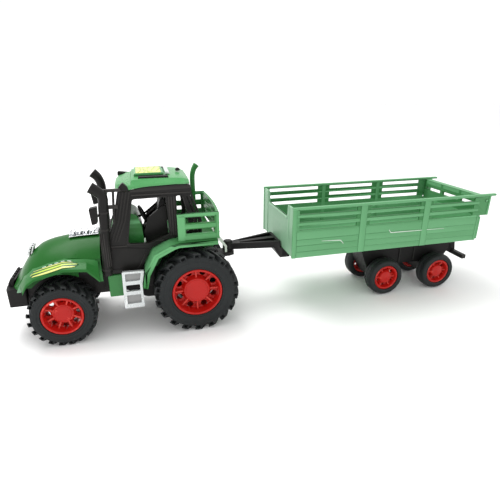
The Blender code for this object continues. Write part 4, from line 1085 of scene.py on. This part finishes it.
def trailer_box():
    floor = [block((90.3, 292.5), (-46.2, 46.2), (61.0, 63.0))]
    floor += [block((94, 290), (y - 0.3, y + 0.3), (62.8, 63.3)) for y in
              [-43 + k * 10.75 for k in range(9)]]
    floor += [block((x, x + 3), (-44, 44), (60.9, 61.4)) for x in range(110, 279, 42)]
    piece("trailer_bed", merged(*[trailer_wall(side) for side in SIDES], *floor), "trailer",
          ["trailer_body"], "trailer", bevel=0.22)
    # The front board and its corner posts take the pale look: painted reflection on faces turned to the
    # front.
    wide, top = BOX_HALF - 1, BOX_TOP - 1
    board = [(-wide, 61.8), (wide, 61.8), (wide, top), (30, top), (28, 97), (-28, 97), (-30, top),
             (-wide, top)]
    parts = [prism([board], (90.0, 91.7), "YZ")]
    for y in (-wide, -33.7, 31.5, wide - 2.2):
        parts.append(block((89.5, 91.9), (y, y + 2.2), (61.8, top)))
    parts.append(block((89.5, 91.9), (-28.4, 28.4), (94.8, 97.0)))
    piece("front_board", merged(*parts), "board", body="trailer", bevel=0.3)


def side_line(name, points, widths, side, y):
    """A thin printed line on a trailer wall, along (x, z) points."""
    rows = []
    for i, (px, pz) in enumerate(points):
        a = Vector(points[max(i - 1, 0)])
        b = Vector(points[min(i + 1, len(points) - 1)])
        off = (b - a).normalized().orthogonal() * widths[i] / 2
        rows.append([at(px + off.x, side * y, pz + off.y), at(px - off.x, side * y, pz - off.y)])
    piece(name, skin(rows, caps=False, closed=False), "decal_white", body="trailer", thick=0.05)


def side_lines(side, suffix):
    lines = (((118.5, 76.0), (138.0, 75.0), (141.2, 71.4), 46.85),
             ((252.5, 77.2), (191.6, 77.9), (189.2, 81.0), 47.02))
    widths = [0.3 + 0.10 * i for i in range(7)] + [0.5]
    for k, ((a, z0), (b, z1), hook, y) in enumerate(lines):
        points = [(a + (b - a) * i / 6, z0 + (z1 - z0) * i / 6) for i in range(7)]
        side_line(f"side_line_{k}_{suffix}", points + [hook], widths, side, y)


def tailgate():
    wing, inner = 46.9, 44.3
    openings = [rect(y - 12.6, a, y + 12.6, b, 0.5) for y in (-29, 0, 29) for a, b in SLOT_ROWS[1:]]
    parts = [prism([rect(-wing, 62.3, wing, 86)], (293.3, 295.4), "YZ"),
             prism([rect(-inner, 80, inner, 107)] + openings, (293.6, 296.6), "YZ"),
             block((293.7, 301), (-inner, inner), (101.5, 107.2))]
    parts += [block((295.0, 297.2), (y - 1.6, y + 1.6), (63, 101.6)) for y in (-14.5, 14.5)]
    parts += [block((295.0, 295.9), (-wing + 1.2, wing - 1.2), zs)
              for zs in ((63.2, 69.0), (69.6, 75.4), (76.0, 79.6))]
    parts += [rod((GATE_PIN[0], side * (inner + 0.9), GATE_PIN[1]), 1.2, 3.8, steps=20)
              for side in SIDES]
    piece("swing_gate", merged(*parts), "trailer", ["tailgate"], "tailgate", bevel=0.25)


def bogie():
    side_view = [(176, 60.5), (190, 26), (197, 13), (213.4, 13), (221, 28), (253.8, 28),
                 (261.4, 13), (277.8, 13), (283, 26), (292, 40), (292, 60.5)]
    room = prism([[(184, 62), (195, 31), (279, 31), (289.5, 43), (289.5, 62)]], (-12, 12))
    parts = [carved(slab(side_view, 1.6, (-14, 14), steps=3), [room] + axle_holes(TRAILER_AXLES, 60))]
    for side in SIDES:
        proud = out_from(side, 13.8, 14.8)
        parts.append(block((181, 290), out_from(side, 13.8, 15.0), (55.5, 57.5)))
        for axle in TRAILER_AXLES:
            x, z = axle
            parts.append(carved(rod((x, side * 14.4, z), 4.4, 1.6, "Y", 32), axle_holes([axle], 60)))
            parts += [block((x - 7 + 2.2 * k, x + 7 - 2.2 * k), proud,
                            (27.5 + 1.8 * k, 28.6 + 1.8 * k)) for k in range(3)]
        parts += [block((x, x + 1.6), proud, (30, 55)) for x in (228, 246)]
    piece("trailer_frame", merged(*parts), "black", ["trailer_chassis"], "trailer", bevel=0.35)
    post = [(292.3, 57), (292.3, 50), (300, 47), (304.6, 40), (305.5, 28), (311, 28), (311, 33),
            (308.6, 47), (302, 55)]
    bar = merged(slab(post, 1.5, (-3.5, 3.5), steps=3), block((306, 310.8), (-22, 22), (28.2, 32.8)))
    piece("under_run_bar", bar, "black", ["rear_bumper"], "trailer", bevel=0.45, segments=3)


# ---- floor, lights and camera ----
def studio():
    bm = bmesh.new()
    bmesh.ops.create_grid(bm, x_segments=1, y_segments=1, size=6.0)
    floor = as_object(bm, "studio_floor")
    mat = bpy.data.materials.new("pale_floor")
    mat.use_nodes = True
    shader = mat.node_tree.nodes["Principled BSDF"]
    shader.inputs["Base Color"].default_value = (0.97, 0.968, 0.965, 1.0)
    shader.inputs["Roughness"].default_value = 0.9
    shader.inputs["Specular IOR Level"].default_value = 0.2
    floor.data.materials.append(mat)
    scene = bpy.context.scene
    world = bpy.data.worlds.new("studio")
    scene.world = world
    world.use_nodes = True
    world.node_tree.nodes["Background"].inputs["Color"].default_value = (1.0, 1.0, 1.0, 1.0)
    world.node_tree.nodes["Background"].inputs["Strength"].default_value = 1.04
    for name, place, target, size, power in (
            ("key", (-0.35, 0.30, 1.10), (0, 0, 0.05), 0.7, 9.0),
            ("fill", (-0.9, -1.1, 0.7), (0, 0, 0.06), 1.0, 0.8)):
        lamp = bpy.data.lights.new(name, "AREA")
        lamp.size = size
        lamp.energy = power
        obj = bpy.data.objects.new(name, lamp)
        obj.location = place
        obj.rotation_euler = (Vector(target) - Vector(place)).to_track_quat("-Z", "Y").to_euler()
        scene.collection.objects.link(obj)
    camera = bpy.data.cameras.new("camera")
    camera.lens = 29.67
    camera.sensor_width = 36.0
    camera.clip_start = 0.01
    holder = bpy.data.objects.new("camera", camera)
    holder.location = at(-40.1, -380.8, 207.8)
    holder.rotation_euler = (math.radians(68.815), 0, math.radians(-14.929))
    scene.collection.objects.link(holder)
    scene.camera = holder
    scene.view_settings.view_transform = "Standard"


wheels("rear", "rear_wheels", REAR_RIM, 18)
wheels("front", "front_wheels", FRONT_RIM, 20)
for number in (1, 2):
    wheels(f"trailer_{number}", f"trailer_wheels_{number}", TRAILER_RIM)
hood()
both_sides(fender)
both_sides(fender_decals)
nose()
engine()
cab()
both_sides(cab_trim)
roof()
roof_fittings()
interior()
both_sides(stack_and_mirror)
chassis()
both_sides(ladder_and_tank)
rear_body()
rack()
rear_details()
drawbar()
trailer_box()
both_sides(side_lines)
tailgate()
bogie()
for hidden, plain_look in (("motor_housing", "white"), ("drive_gear", "white"), ("flywheel", "steel")):
    recolour(hidden, plain_look)
studio()
